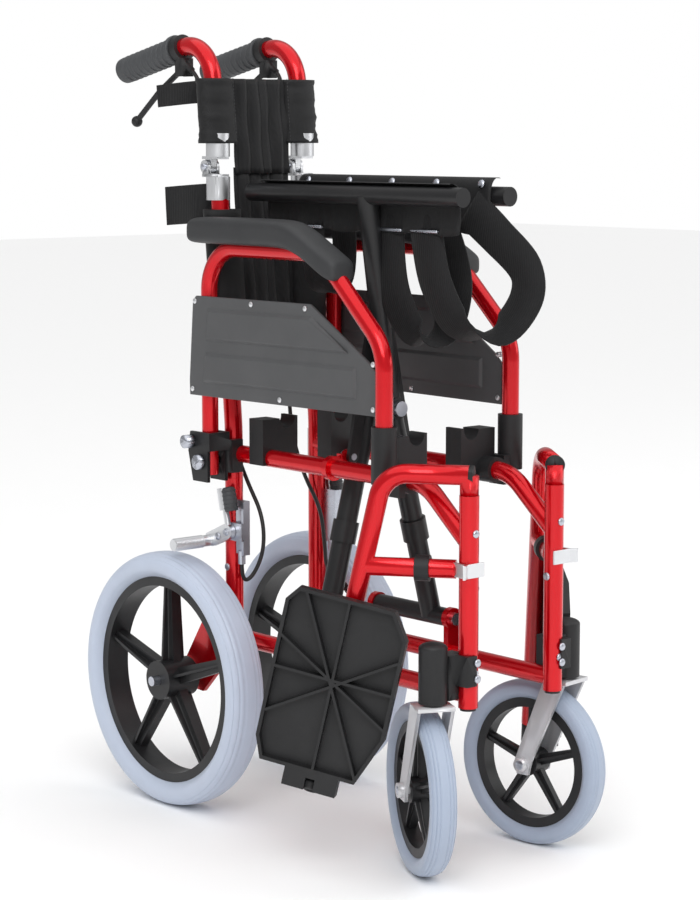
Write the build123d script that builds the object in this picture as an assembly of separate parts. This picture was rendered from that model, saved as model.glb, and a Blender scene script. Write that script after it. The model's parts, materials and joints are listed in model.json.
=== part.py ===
"""Folding attendant-propelled wheelchair, shown folded.

Millimetres. +X is the user's left, -Y is forward, +Z is up. The floor is z = 0 and the
chair's middle plane is x = 0. Every side piece is drawn once for the left side, with its
outboard side towards +X, and mirrored for the right.
"""

import os
from math import atan2, cos, degrees, hypot, pi, radians, sin, tan

from build123d import *

os.makedirs("parts", exist_ok=True)

# ---------------------------------------------------------------- driving dimensions
frame_half = 66.0  # side-frame plane from the middle plane, folded
upright_spacing = 415.0  # rear upright to front upright
rear_y = 131.0  # rear upright
tube_r = 11.0
run_r = 10.5  # top and bottom tubes, welded between the uprights
tube_wall = 2.0
bottom_z = 213.0
top_z = 440.0
front_upright_foot_z = 198.0
front_upright_top_z = 434.0
rear_upright_foot_z = 190.0
slope_run = 70.0  # the top tube's sloping stretch before the front upright
slope_angle = 40.0
slope_bend_r = 60.0
cane_lean = 5.0  # the back leans rearward by this angle above the bend
cane_bend_z = 470.0
cane_bend_r = 300.0
hinge_z = 785.0  # half-fold hinge of the back
hinge_gap = 14.0  # tube end to hinge axis
hinge_back = 16.0  # hinge pin behind the tube's axis
hinge_pin_r = 3.5
handle_top_z = 936.0
grip_drop = 12.0  # the grips point this far below level
grip_length = 112.0
grip_r = 16.0

wheel_r = 157.5
tyre_width = 50.0
tyre_height = 30.0
wheel_out = 51.0  # wheel plane outboard of the frame plane
axle_back = 60.0  # axle behind the rear upright
castor_r = 97.5
castor_width = 30.0
castor_tyre_height = 21.0
castor_out = 38.0
castor_back = 16.0
castor_trail = 45.0
castor_turn = {"right": 26.0, "left": 8.0}  # trailing end turned inboard
housing_r = 16.0
housing_z = (206.0, 262.0)

foot_pivot_z = 255.0
centre_pivot_z = 508.0
rail_z = 755.0
rail_half = 36.0
rail_r = 11.0
rail_y = (126.0, -235.0)
cross_y = -62.0
cross_r = 12.5
cross_gap = 13.0  # between the two crossing tubes
foot_tube_y = (12.0, -112.0)
fold_angle = 51.4  # foot pivots turn this far from folded to open
saddle_y = (70.0, -160.0)
saddle_length = 26.0
link_inboard = 24.0
link_lug_z = 452.0
link_reach = 89.6  # link bolt beyond the centre pivot
link_thick = 5.0
sling_thick = 2.4
sling_drop = 42.0
strap_half = 19.0
strap_drops = ((35.0, 120.0), (-120.0, 160.0), (-190.0, 150.0))  # place along the rail, drop

arm_out = 32.0
arm_r = 10.0
arm_rear_y = 136.0
arm_pivot_z = 432.0
arm_top_z = 690.0
arm_front_y = -180.0
arm_slope_y = -72.0
arm_shoulder_z = 590.0
arm_foot_z = 452.0
socket_z = (444.0, 502.0)
pad_y = (158.0, -112.0)
pad_width = 34.0
pad_z = (701.5, 724.0)
skirt_thick = 4.0
skirt_z = (512.0, 632.0)

arm_stow = 143.0  # footrest hanger, turned outward from straight ahead
hanger_z = 456.0
hanger_reach = 95.0
hanger_slant = 12.7
hanger_brace_z = 352.0
hanger_foot_z = 118.0
plate_width = 142.0
plate_length = 205.0
plate_skin = 4.0
plate_rib = 14.0
plate_gap = 5.0
plate_pivot = (-11.0, 6.0)  # hinge pin below the plate's edge and out from its face

brake_pivot = (118.0, 346.0)
shoe_at = (154.0, 331.0)
brake_out = tube_r + 8.0  # brake arm outboard of the frame plane
datum_y = 14.5  # middle of the chair's length, from the datum that these sizes use
clearance = 0.4
pin_play = 0.05  # round a bolt that turns in its hole
bolt_r = 4.0
cable_r = 2.5
barrel_at = (frame_half + 6, rear_y - 22, 306.0)  # end of the brake cable

# ---------------------------------------------------------------- derived places
front_y = rear_y - upright_spacing
axle_y = rear_y + axle_back
bore_r = tube_r - tube_wall
run_bore_r = run_r - tube_wall
lean = tan(radians(cane_lean))
hinge_y = rear_y + (hinge_z - cane_bend_z) * lean
lower_half = hypot(frame_half, centre_pivot_z - foot_pivot_z)
upper_half = hypot(rail_half, rail_z - centre_pivot_z)
lower_angle = degrees(atan2(frame_half, centre_pivot_z - foot_pivot_z))
upper_angle = degrees(atan2(rail_half, rail_z - centre_pivot_z))
open_lower = radians(lower_angle + fold_angle)
open_upper = radians(upper_angle + fold_angle)
open_half = lower_half * sin(open_lower)
seat_x = upper_half * sin(open_upper) - open_half  # rail from the frame plane, open
seat_z = foot_pivot_z + lower_half * cos(open_lower) + upper_half * cos(open_upper)
front_cross_y = cross_y - cross_gap / 2 - cross_r
rear_cross_y = cross_y + cross_gap / 2 + cross_r
arm_dir = (sin(radians(arm_stow)), -cos(radians(arm_stow)))
plate_dir = (-cos(radians(arm_stow)), -sin(radians(arm_stow)))

arm_pin = (arm_rear_y, arm_pivot_z)

SIDES = ("right", "left")


# ---------------------------------------------------------------- helpers
def side(shape, name):
    """The left-hand shape itself, or its mirror image for the right."""
    return shape if name == "left" else mirror(shape, about=Plane.YZ)


def group(*shapes):
    """Separate solids kept in one node."""
    solids = [s for shape in shapes for s in shape.solids()]
    return Compound(children=[Solid(s.wrapped) for s in solids])


def save(name, shape):
    """Write one node, moved from the drawing datum to the chair's own origin."""
    placed = group(*[Pos(0, -datum_y, 0) * solid for solid in shape.solids()])
    placed.label = name
    export_step(placed, f"parts/{name}.step")


def path_of(points, radii=None):
    """A wire through the points, with its corners rounded."""
    if len(points) == 2:
        return Line(*points)
    return FilletPolyline(*points, radius=radii)


def rod(points, radius, radii=None):
    """A solid round bar along the points."""
    path = path_of(points, radii)
    return sweep(Plane(origin=path @ 0, z_dir=path % 0) * Circle(radius), path=path)


def pipe(points, radius, wall, radii=None):
    """A hollow tube along the points, open at both ends."""
    path = path_of(points, radii)
    ring = Circle(radius) - Circle(radius - wall)
    return sweep(Plane(origin=path @ 0, z_dir=path % 0) * ring, path=path)


def bar(x, y, z):
    """A box between two limits on each axis."""
    centre = ((x[0] + x[1]) / 2, (y[0] + y[1]) / 2, (z[0] + z[1]) / 2)
    return Pos(*centre) * Box(abs(x[1] - x[0]), abs(y[1] - y[0]), abs(z[1] - z[0]))


def along(axis, start, end, radius, hole=0.0):
    """A cylinder between two points on a line parallel to an axis."""
    length = end[axis] - start[axis]
    plane = Plane(origin=start, z_dir=[float(i == axis) * (1 if length > 0 else -1) for i in range(3)])
    section = Circle(radius) - Circle(hole) if hole else Circle(radius)
    return extrude(plane * section, amount=abs(length))


def cane_y(z):
    """Where the leaning back tube's axis is at a height."""
    return rear_y + max(0.0, z - cane_bend_z) * lean


# ---------------------------------------------------------------- side frame
def side_frame():
    x = frame_half
    cane_top = hinge_z - hinge_gap
    rear = [(x, rear_y, rear_upright_foot_z), (x, rear_y, cane_bend_z), (x, cane_y(cane_top), cane_top)]
    slope_y = front_y + slope_run
    slope_foot = (x, front_y, top_z - slope_run * tan(radians(slope_angle)))
    top = [(x, rear_y, top_z), (x, slope_y, top_z), slope_foot]
    bottom = [(x, rear_y, bottom_z), (x, front_y, bottom_z)]
    front = [(x, front_y, front_upright_foot_z), (x, front_y, front_upright_top_z)]
    outer = rod(rear, tube_r, [cane_bend_r]) + rod(front, tube_r)
    outer += rod(top, run_r, [slope_bend_r]) + rod(bottom, run_r)
    inner = rod(rear, bore_r, [cane_bend_r]) + rod(front, bore_r)
    inner += rod(top, run_bore_r, [slope_bend_r]) + rod(bottom, run_bore_r)
    return outer + axle_plate() + foot_lugs() + link_clamp() - inner


def axle_plate():
    """The plate that carries the rear axle behind the upright."""
    x = frame_half + tube_r
    outline = Polyline(
        (rear_y - tube_r, bottom_z + 60),
        (rear_y + tube_r + 4, bottom_z + 60),
        (axle_y + 20, wheel_r + 18),
        (axle_y + 20, wheel_r - 18),
        (axle_y - 14, wheel_r - 20),
        (rear_y - tube_r, bottom_z - 18),
        close=True,
    )
    plate = extrude(Plane.YZ.offset(x - 2) * make_face(outline), amount=6)
    hole = along(0, (x - 5, axle_y, wheel_r), (x + 5, axle_y, wheel_r), 6.0 + clearance)
    return plate - hole


def foot_lugs():
    """Two ears on the bottom tube that hold the cross-brace's foot tube."""
    ears = []
    for y in (foot_tube_y[0] + clearance, foot_tube_y[1] - clearance - 8):
        ear = bar((frame_half - 9, frame_half + 9), (y, y + 8), (bottom_z + 4, foot_pivot_z))
        ear += along(1, (frame_half, y, foot_pivot_z), (frame_half, y + 8, foot_pivot_z), 13.0)
        start, end = (frame_half, y - 1, foot_pivot_z), (frame_half, y + 9, foot_pivot_z)
        hole = along(1, start, end, bolt_r + pin_play)
        ears.append(ear - hole)
    return ears[0] + ears[1]


def link_clamp():
    """The clamp on the top tube that holds the link bar's bolt."""
    x, y = frame_half, cross_y
    half = 4.0
    start = y + link_thick / 2 + 1
    clamp = along(1, (x, start, top_z), (x, start + 2 * half, top_z), run_r + 4, run_bore_r + 1)
    lug = bar((x - link_inboard, x - run_r + 1), (start, start + 2 * half), (link_lug_z - 8, link_lug_z + 4))
    at = x - link_inboard
    lug += along(1, (at, start, link_lug_z), (at, start + 2 * half, link_lug_z), 8.0)
    hole = along(1, (at, start - 1, link_lug_z), (at, start + 10, link_lug_z), bolt_r + pin_play)
    return clamp + lug - hole


def saddle(y):
    """A plastic block on the top tube with a cup that the seat rail drops into."""
    x = frame_half
    span = (y - saddle_length / 2, y + saddle_length / 2)
    body = bar((x + seat_x - 16, x + tube_r + 3), span, (top_z - 8, seat_z + 2))
    tube = along(1, (x, span[0] - 1, top_z), (x, span[1] + 1, top_z), run_r + 0.1)
    centre = x + seat_x
    cup = along(1, (centre, span[0] - 1, seat_z), (centre, span[1] + 1, seat_z), rail_r + 0.5)
    mouth = bar((centre - rail_r - 0.5, x + tube_r + 4), (span[0] - 1, span[1] + 1), (seat_z, seat_z + 9))
    return body - tube - cup - mouth


def frame_plastics():
    x = frame_half
    saddles = [saddle(y) for y in saddle_y]
    plug_r = bore_r - 0.1
    caps = []
    for y, z in ((rear_y, rear_upright_foot_z), (front_y, front_upright_foot_z)):
        cap = along(2, (x, y, z - 3), (x, y, z + 14), plug_r)
        caps.append(cap)
    at = (x + arm_out, arm_front_y)
    socket = along(2, (*at, socket_z[0]), (*at, socket_z[1]), arm_r + 4.5, arm_r + 0.4)
    web_z = (socket_z[0] - 22, socket_z[0] + 12)
    web = bar((x + run_r, x + arm_out - arm_r - 2), (at[1] - 12, at[1] + 12), web_z)
    floor = along(2, (*at, socket_z[0] - 6), (*at, socket_z[0]), arm_r + 4.5)
    grip = along(1, (x, at[1] - 12, top_z), (x, at[1] + 12, top_z), tube_r + 4)
    hollow = along(1, (x, at[1] - 13, top_z), (x, at[1] + 13, top_z), run_r + 0.1)
    socket = socket + floor + web + grip - hollow
    keep = along(2, (*at, socket_z[0]), (*at, socket_z[1] + 1), arm_r + 0.4)
    return group(*saddles, *caps, socket - keep)


def arm_bracket():
    """Two plates outboard of the rear upright, with the armrest's pivot between them."""
    x = frame_half + arm_out
    inner, outer = x - arm_r - 5.4, x + arm_r + 5.4
    plates = []
    for edge in (inner, outer - 4):
        outline = Polyline(
            (arm_rear_y - 14, arm_pivot_z - 24),
            (arm_rear_y + 15, arm_pivot_z - 24),
            (arm_rear_y + 24, arm_pivot_z + 12),
            (arm_rear_y + 20, arm_pivot_z + 36),
            (arm_rear_y - 14, arm_pivot_z + 36),
            close=True,
        )
        plates.append(extrude(Plane.YZ.offset(edge) * make_face(outline), amount=4))
    # the bridge stays above what the tube's foot sweeps as the armrest flips back
    bridge_z = (arm_pivot_z + 14, arm_pivot_z + 36)
    bridge = bar((inner, outer), (arm_rear_y - 18, arm_rear_y - 13.5), bridge_z)
    clamp = bar((frame_half, inner), (rear_y - 18, rear_y + 18), (arm_pivot_z - 14, arm_pivot_z + 26))
    post = ((frame_half, rear_y, arm_pivot_z - 40), (frame_half, rear_y, cane_bend_z))
    clamp = clamp - along(2, *post, tube_r + 0.1)
    clamp = clamp - along(1, (frame_half, rear_y, top_z), (frame_half, rear_y - 40, top_z), run_r + 0.1)
    body = plates[0] + plates[1] + bridge + clamp
    body = body - along(0, (inner - 2, *arm_pin), (outer + 2, *arm_pin), bolt_r + 0.1)
    pin = along(0, (inner, *arm_pin), (outer, *arm_pin), bolt_r)
    nut = along(0, (outer, *arm_pin), (outer + 6.6, *arm_pin), 9.0)
    knob_at = (arm_rear_y + 16, arm_pivot_z + 24)
    knob = along(0, (outer, *knob_at), (outer + 12.6, *knob_at), 8.0)
    return group(body, pin + nut, knob)


def frame_hardware():
    """Axle bolt, parking-brake channel and the castor bracket's bolts."""
    x = frame_half
    out = x + wheel_out
    axle = along(0, (x + 4, axle_y, wheel_r), (out + 33, axle_y, wheel_r), 6.0)
    axle += along(0, (x + 0.5, axle_y, wheel_r), (x + tube_r - 2, axle_y, wheel_r), 9.5)
    channel = bar((x + 2, x + 6), (rear_y - 33, rear_y - tube_r - 0.2), (318, 384))
    channel += bar((x + 2, x + tube_r + 1), (rear_y - 33, rear_y - 29), (318, 384))
    py, pz = brake_pivot
    tab = bar((x + 2, x + brake_out - 4), (rear_y - 33, rear_y - tube_r - 0.2), (pz - 11, pz + 11))
    pin = along(0, (x + brake_out - 4, py, pz), (x + brake_out + 7, py, pz), 3.0)
    stop = along(2, barrel_at, (barrel_at[0], barrel_at[1], barrel_at[2] + 16), 4.5)
    feet = []
    for y in foot_tube_y:
        sign = 1 if y == foot_tube_y[0] else -1
        outer = y + sign * (8 + clearance)
        inner = y - sign * 12
        shank = along(1, (x, inner, foot_pivot_z), (x, outer, foot_pivot_z), bolt_r)
        feet.append(shank + along(1, (x, outer, foot_pivot_z), (x, outer + sign * 5, foot_pivot_z), 7.5))
    lug = cross_y + link_thick / 2 + 1
    at = (x - link_inboard, lug + 8, link_lug_z)
    link_bolt = along(1, at, (at[0], lug - link_thick - 1.5, at[2]), bolt_r)
    link_bolt += along(1, at, (at[0], at[1] + 4, at[2]), 6.5)
    return group(axle, channel + tab + pin + stop, *feet, link_bolt)


def castor_housing():
    """The swivel bearing's housing, its domed cap and the bracket to the front upright."""
    x, y = frame_half + castor_out, front_y + castor_back
    barrel = along(2, (x, y, housing_z[0]), (x, y, housing_z[1]), housing_r, bolt_r + 2.05)
    cap = along(2, (x, y, housing_z[1]), (x, y, housing_z[1] + 5), housing_r)
    dome = Pos(x, y, housing_z[1] + 5) * (Sphere(housing_r) & Pos(0, 0, 25) * Box(60, 60, 50))
    dome = Pos(x, y, housing_z[1] + 5) * scale(Pos(-x, -y, -housing_z[1] - 5) * dome, by=(1, 1, 0.45))
    web = bar((frame_half, x - housing_r + 3), (y - 12, y + 10), (housing_z[0] + 2, housing_z[1] - 4))
    wrap_z = (housing_z[0] + 18, housing_z[1] - 4)
    web += bar((frame_half, frame_half + tube_r + 4), (front_y - 14, y + 10), wrap_z)
    web = web - along(2, (frame_half, front_y, 150), (frame_half, front_y, 300), tube_r + 0.1)
    web = web - along(1, (frame_half, front_y - 30, bottom_z), (frame_half, y + 30, bottom_z), run_r + 0.1)
    bolts = []
    for z in (housing_z[0] + 26, housing_z[1] - 12):
        at = (x - housing_r - 3, y + 10, z)
        bolts.append(along(1, at, (at[0], at[1] + 4, at[2]), 6.0))
    return group(barrel + web, cap + dome, *bolts)


# ---------------------------------------------------------------- wheels
def spoked_rim(radius, hub_r, width, hub_width, bore, spokes=5):
    """A moulded wheel in the YZ plane: rim, hub and tapered spokes."""
    rim = extrude(Plane.YZ * (Circle(radius) - Circle(radius - 11)), amount=width / 2, both=True)
    hub = extrude(Plane.YZ * Circle(hub_r), amount=hub_width / 2, both=True)
    wheel = rim + hub
    root, tip = hub_r * 0.42, hub_r * 0.3
    blade = Polyline((hub_r - 4, -root), (radius - 6, -tip), (radius - 6, tip), (hub_r - 4, root), close=True)
    spoke = extrude(Plane.YZ * make_face(blade), amount=width * 0.2, both=True)
    for i in range(spokes):
        wheel += Rot(i * 360 / spokes + 18, 0, 0) * spoke
    return wheel - extrude(Plane.YZ * Circle(bore), amount=hub_width, both=True)


def tyre(radius, width, height):
    """A tyre of rounded section in the YZ plane, with a flat seat on its rim."""
    inner = radius - height
    section = Pos(0, 0, radius - height / 2) * Rot(90, 0, 0) * RectangleRounded(width, height, height * 0.46)
    ring = revolve(section, axis=Axis.X)
    return ring - extrude(Plane.YZ * Circle(inner + 0.2), amount=width, both=True)


def rear_wheel():
    place = Pos(frame_half + wheel_out, axle_y, wheel_r)
    inner = wheel_r - tyre_height
    rim = place * spoked_rim(inner, 24.0, tyre_width * 0.62, 46.0, 6.0 + 0.05)
    return rim, place * tyre(wheel_r, tyre_width, tyre_height)


def castor(turn):
    """Fork with its stem, rim and tyre, turned about the stem."""
    x, y = frame_half + castor_out, front_y + castor_back
    hub_y = y + castor_trail
    inner = castor_r - castor_tyre_height
    rim = Pos(x, hub_y, castor_r) * spoked_rim(inner, 15.0, castor_width * 0.62, 27.0, 5.05)
    rubber = Pos(x, hub_y, castor_r) * tyre(castor_r, castor_width, castor_tyre_height)
    leg_x = castor_width / 2 + 2.5
    crown_z = 2 * castor_r + 4
    stem = along(2, (x, y, crown_z), (x, y, housing_z[1] - 1), bolt_r + 2)
    crown = bar((x - leg_x - 4, x + leg_x + 4), (y - 16, y + 16), (crown_z, crown_z + 4.5))
    legs = None
    for sign in (-1, 1):
        outline = Polyline(
            (y - 15, crown_z + 4.5),
            (y + 15, crown_z + 4.5),
            (hub_y + 11, castor_r + 4),
            (hub_y + 8, castor_r - 12),
            (hub_y - 8, castor_r - 12),
            (hub_y - 12, castor_r + 4),
            close=True,
        )
        plane = Plane.YZ.offset(x + sign * (leg_x + 2))
        leg = extrude(plane * make_face(outline), amount=2, both=True)
        legs = leg if legs is None else legs + leg
    fork = stem + crown + legs
    axle = along(0, (x - leg_x - 8, hub_y, castor_r), (x + leg_x + 8, hub_y, castor_r), 5.0)
    for sign in (-1, 1):
        nut = (x + sign * (leg_x + 4), hub_y, castor_r)
        axle += along(0, nut, (nut[0] + sign * 6, hub_y, castor_r), 8.5)
    fork = fork - along(0, (x - 40, hub_y, castor_r), (x + 40, hub_y, castor_r), 5.0)
    swivel = Pos(x, y, 0) * Rot(0, 0, turn) * Pos(-x, -y, 0)
    return group(swivel * fork, swivel * axle), swivel * rim, swivel * rubber


# ---------------------------------------------------------------- folding cross-brace
def cross_tube(foot_side):
    """One brace tube with its foot tube, drawn with its foot on the left side."""
    x = frame_half
    y = front_cross_y if foot_side == "left" else rear_cross_y
    foot = (x, y, foot_pivot_z)
    top = (-rail_half, y, rail_z)
    mid = (0.0, y, centre_pivot_z)
    radii = [400.0]
    outer = rod([foot, mid, top], cross_r, radii)
    inner = rod([foot, mid, top], cross_r - tube_wall, radii)
    sleeve = along(1, (x, foot_tube_y[0], foot_pivot_z), (x, foot_tube_y[1], foot_pivot_z), tube_r)
    hole_y = (foot_tube_y[0] + 1, foot_tube_y[1] - 1)
    pin_hole = along(1, (x, hole_y[0], foot_pivot_z), (x, hole_y[1], foot_pivot_z), bolt_r + pin_play)
    seat_y = (rail_y[0] + 2, rail_y[1] - 2)
    rail_seat = along(1, (-rail_half, seat_y[0], rail_z), (-rail_half, seat_y[1], rail_z), rail_r + 0.1)
    boss = along(1, (0, y - cross_r - 1, centre_pivot_z), (0, y + cross_r + 1, centre_pivot_z), 13.0)
    pivot = along(1, (0, y - 30, centre_pivot_z), (0, y + 30, centre_pivot_z), 5.05)
    body = outer + sleeve - inner - pin_hole + boss
    collar_at = 0.42
    collar = Pos(x * (1 - collar_at), y, foot_pivot_z + (centre_pivot_z - foot_pivot_z) * collar_at)
    tilt = -degrees(atan2(x, centre_pivot_z - foot_pivot_z))
    body += collar * Rot(0, tilt, 0) * (Cylinder(cross_r + 3, 26) - Cylinder(cross_r - 1, 40))
    return body - rail_seat - pivot


def seat_rail():
    """The seat rail carried by the brace whose foot is on the other side."""
    x = rail_half
    tube = pipe([(x, rail_y[0], rail_z), (x, rail_y[1], rail_z)], rail_r, tube_wall)
    caps = []
    for y, sign in ((rail_y[0], 1), (rail_y[1], -1)):
        plug = along(1, (x, y - sign * 12, rail_z), (x, y, rail_z), rail_r - tube_wall - 0.1)
        caps.append(plug + along(1, (x, y, rail_z), (x, y + sign * 5, rail_z), rail_r))
    return group(tube, *caps)


def pivot_bolt():
    """The bolt through both brace tubes, with a spacer between them."""
    ends = (front_cross_y - cross_r - 1, rear_cross_y + cross_r + 1)
    shank = along(1, (0, ends[0] - 5, centre_pivot_z), (0, ends[1] + 5, centre_pivot_z), 5.0)
    for y, sign in ((ends[0] - 0.3, -1), (ends[1] + 0.3, 1)):
        shank += along(1, (0, y, centre_pivot_z), (0, y + sign * 6, centre_pivot_z), 9.0)
    return shank + along(1, (0, cross_y - 5, centre_pivot_z), (0, cross_y + 5, centre_pivot_z), 9.0)


def link_bar():
    """The flat bar from the top tube's clamp up to the opposite brace tube."""
    lug = (frame_half - link_inboard, link_lug_z)
    share = link_reach / upper_half
    far = (rail_half * share, centre_pivot_z + (rail_z - centre_pivot_z) * share)
    outline = SlotCenterToCenter(hypot(far[0] - lug[0], far[1] - lug[1]), 15.0)
    angle = degrees(atan2(far[1] - lug[1], far[0] - lug[0]))
    middle = ((lug[0] + far[0]) / 2, cross_y, (lug[1] + far[1]) / 2)
    place = Plane(origin=middle, x_dir=(1, 0, 0), z_dir=(0, -1, 0))
    plate = extrude(place * Rot(0, 0, angle) * outline, amount=link_thick / 2, both=True)
    for at in (lug, far):
        plate = plate - along(1, (at[0], cross_y - 9, at[1]), (at[0], cross_y + 9, at[1]), 4.05)
    return plate


def seat_sling():
    """Cloth flaps inboard of the rails and three tension straps that hang between them."""
    inner = rail_half - rail_r - clearance
    flaps = []
    for sign in (-1, 1):
        x = (sign * (inner - sling_thick), sign * inner)
        for y in ((rail_y[0] - 12, rear_cross_y + 15), (front_cross_y - 15, rail_y[1] + 14)):
            flaps.append(bar(x, y, (rail_z - sling_drop, rail_z + 4)))
    strap_x = inner - sling_thick - clearance
    straps = []
    for y, drop in strap_drops:
        low = rail_z - drop
        outer = bar((-strap_x, strap_x), (y - strap_half, y + strap_half), (low, rail_z - 4))
        hollow = strap_x - sling_thick
        straps.append(outer - bar((-hollow, hollow), (y - 30, y + 30), (low + sling_thick, rail_z)))
    return group(*flaps, *straps)


# ---------------------------------------------------------------- back
def back_hinge(upper):
    """Half of the aluminium half-fold hinge, clamped on the tube's end, with its pin behind."""
    x = frame_half
    sign = 1 if upper else -1
    end_z = hinge_z + sign * hinge_gap
    y = cane_y(hinge_z)
    pin_y = y + hinge_back
    sleeve = along(2, (x, y, end_z - sign * 2), (x, y, end_z + sign * 26), tube_r + 3.5)
    sleeve = sleeve - cane_bore(tube_r + 0.1)
    shelf = (end_z - sign * 5, end_z - sign * 1.5)
    body = sleeve + bar((x - 9, x + 9), (y - 10, pin_y + 4), (min(shelf), max(shelf)))
    ears = (x - 4,) if upper else (x - 8.6, x + 4.6)
    thick = 8 if upper else 4
    root_z = end_z - sign * 1.5  # flush with the shelf, clear of the leaning tube's end
    for edge in ears:
        # set forward of the pin, so that the ears clear the shelves as the back folds down
        heights = (min(hinge_z, root_z), max(hinge_z, root_z))
        body += bar((edge, edge + thick), (pin_y - 8, pin_y + 4), heights)
        body += along(0, (edge, pin_y, hinge_z), (edge + thick, pin_y, hinge_z), 8.0)
    if upper:
        return body - along(0, (x - 20, pin_y, hinge_z), (x + 20, pin_y, hinge_z), hinge_pin_r + pin_play)
    body = body - along(0, (x - 20, pin_y, hinge_z), (x + 20, pin_y, hinge_z), hinge_pin_r)
    pin = along(0, (x - 11.5, pin_y, hinge_z), (x + 11.5, pin_y, hinge_z), hinge_pin_r)
    return group(body, pin)


def cane_bore(radius):
    """A rod along the leaning back tube, for cutting what clamps on it."""
    top = (frame_half, cane_y(handle_top_z), handle_top_z)
    return rod([(frame_half, cane_y(600), 600), top], radius)


def handle_points():
    """The upper back tube: up from the hinge, then bent rearward into the grip."""
    start_z = hinge_z + hinge_gap
    corner = (frame_half, cane_y(handle_top_z + 4), handle_top_z + 4)
    reach = 66 + grip_length
    drop = radians(grip_drop)
    end = (frame_half, corner[1] + reach * cos(drop), corner[2] - reach * sin(drop))
    return [(frame_half, cane_y(start_z), start_z), corner, end]


def handle_tube():
    return pipe(handle_points(), tube_r, tube_wall, [46.0])


def along_grip(start, end, radius, hole=0.0):
    """A cylinder on the grip's axis, between two distances from the handle's end."""
    corner, tip = handle_points()[1:]
    axis = Vector(*tip) - Vector(*corner)
    axis = axis.normalized()
    plane = Plane(origin=Vector(*tip) - axis * start, z_dir=-axis)
    section = Circle(radius) - Circle(hole) if hole else Circle(radius)
    return extrude(plane * section, amount=end - start)


def hand_grip():
    grip = along_grip(0.0, grip_length, grip_r, tube_r + 0.1)
    flange = along_grip(grip_length - 6, grip_length, grip_r + 2, tube_r + 0.1)
    return grip + flange + along_grip(-5.0, 0.0, grip_r)


def lever_frame():
    """Pivot point of the attendant's brake lever, under the handle tube."""
    corner, tip = handle_points()[1:]
    axis = (Vector(*tip) - Vector(*corner)).normalized()
    return Vector(*tip) - axis * (grip_length + 7)


def brake_perch():
    centre = lever_frame()
    ring = along_grip(grip_length + 1, grip_length + 13, tube_r + 5)
    y, z = centre.Y, centre.Z - 26
    block = bar((frame_half - 8, frame_half + 8), (y - 13, y + 3), (z - 8, centre.Z - tube_r - 1))
    slot = bar((frame_half - 4.4, frame_half + 4.4), (y - 8, y + 12), (z - 12, z + 9))
    nozzle = rod([(frame_half, y - 10, z + 7), (frame_half, y - 21, z - 1)], 4.0)
    pin = along(0, (frame_half - 8, y, z), (frame_half + 8, y, z), 2.5)
    body = ring + block + nozzle - slot - rod(handle_points(), tube_r + 0.1, [46.0])
    body = body - along_grip(0, grip_length + 0.2, grip_r + 2.3)
    return group(body - pin, pin)


def brake_lever():
    """A curved lever with a ball end, hanging rearward below the grip."""
    centre = lever_frame()
    y, z = centre.Y, centre.Z - 26
    x = frame_half
    hub = along(0, (x - 4, y, z), (x + 4, y, z), 7.0)
    blade = rod([(x, y + 4, z - 2), (x, y + 46, z - 26), (x, y + 92, z - 60)], 3.6, [60.0])
    ball = Pos(x, y + 94, z - 62) * Sphere(7.0)
    return hub + blade + ball - along(0, (x - 9, y, z), (x + 9, y, z), 2.55)


def back_sleeve():
    """Fabric sleeve round the upper back tube."""
    z0, z1 = hinge_z + hinge_gap + 28, handle_top_z - 54
    axis = [(frame_half, cane_y(z0), z0), (frame_half, cane_y(z1), z1)]
    return rod(axis, tube_r + 3) - cane_bore(tube_r + 0.3)


def back_panel(upper):
    """Half of the folded back sheet, from beside the tube to the middle seam."""
    z0, z1 = (hinge_z + 2, handle_top_z - 54) if upper else (560.0, hinge_z - 2)
    y0, y1 = cane_y(z0), cane_y(z1)
    outline = Polyline((y0 - 4, z0), (y0 + 4, z0), (y1 + 4, z1), (y1 - 4, z1), close=True)
    return extrude(Plane.YZ.offset(0.4) * make_face(outline), amount=frame_half - tube_r - 6)


def brake_cable():
    """Outer cable from the lever's nozzle, down behind the back tube, to the brake."""
    centre = lever_frame()
    x, y, z = frame_half, centre.Y - 21, centre.Z - 27
    route = [
        (x, y, z),
        (x, y - 11, z - 8),
        (x - 8, y - 13, z - 30),
        (x - 17, y - 17, z - 64),
        (x - 19, y - 22, z - 110),
        (x - 18, y - 26, z - 168),
        (x - 17, y - 33, z - 226),
        (x - 18, y - 36, z - 286),
        (x - 17, y - 42, z - 346),
        (x - 18, y - 44, z - 404),
        (x - 19, y - 54, z - 456),
        (x - 21, y - 78, z - 500),
        (x - 20, y - 108, z - 536),
        (x - 18, y - 114, z - 578),
        (x - 8, y - 104, z - 612),
        (barrel_at[0], barrel_at[1], barrel_at[2] - 22),
        barrel_at,
    ]
    radii = corner_radii(route)
    cable = rod(route, cable_r, radii)
    section = pi * cable_r**2
    print("brake cable: volume / (section x length)", cable.volume / (section * path_of(route, radii).length))
    return cable


def corner_radii(route):
    """For each corner, 0.45 of its shorter run over the tangent of half its turn."""
    radii = []
    for a, b, c in zip(route, route[1:], route[2:]):
        first, second = Vector(*b) - Vector(*a), Vector(*c) - Vector(*b)
        run = min(first.length, second.length)
        radii.append(0.45 * run / tan(radians(first.get_angle(second) / 2)))
    return radii


# ---------------------------------------------------------------- armrest
def arm_tube():
    x = frame_half + arm_out
    points = [
        (x, arm_rear_y, arm_pivot_z - 16),
        (x, arm_rear_y, arm_top_z),
        (x, arm_slope_y, arm_top_z),
        (x, arm_front_y, arm_shoulder_z),
        (x, arm_front_y, arm_foot_z),
    ]
    tube = pipe(points, arm_r, tube_wall, [52.0, 60.0, 60.0])
    return tube - along(0, (x - 20, *arm_pin), (x + 20, *arm_pin), bolt_r + pin_play)


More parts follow.
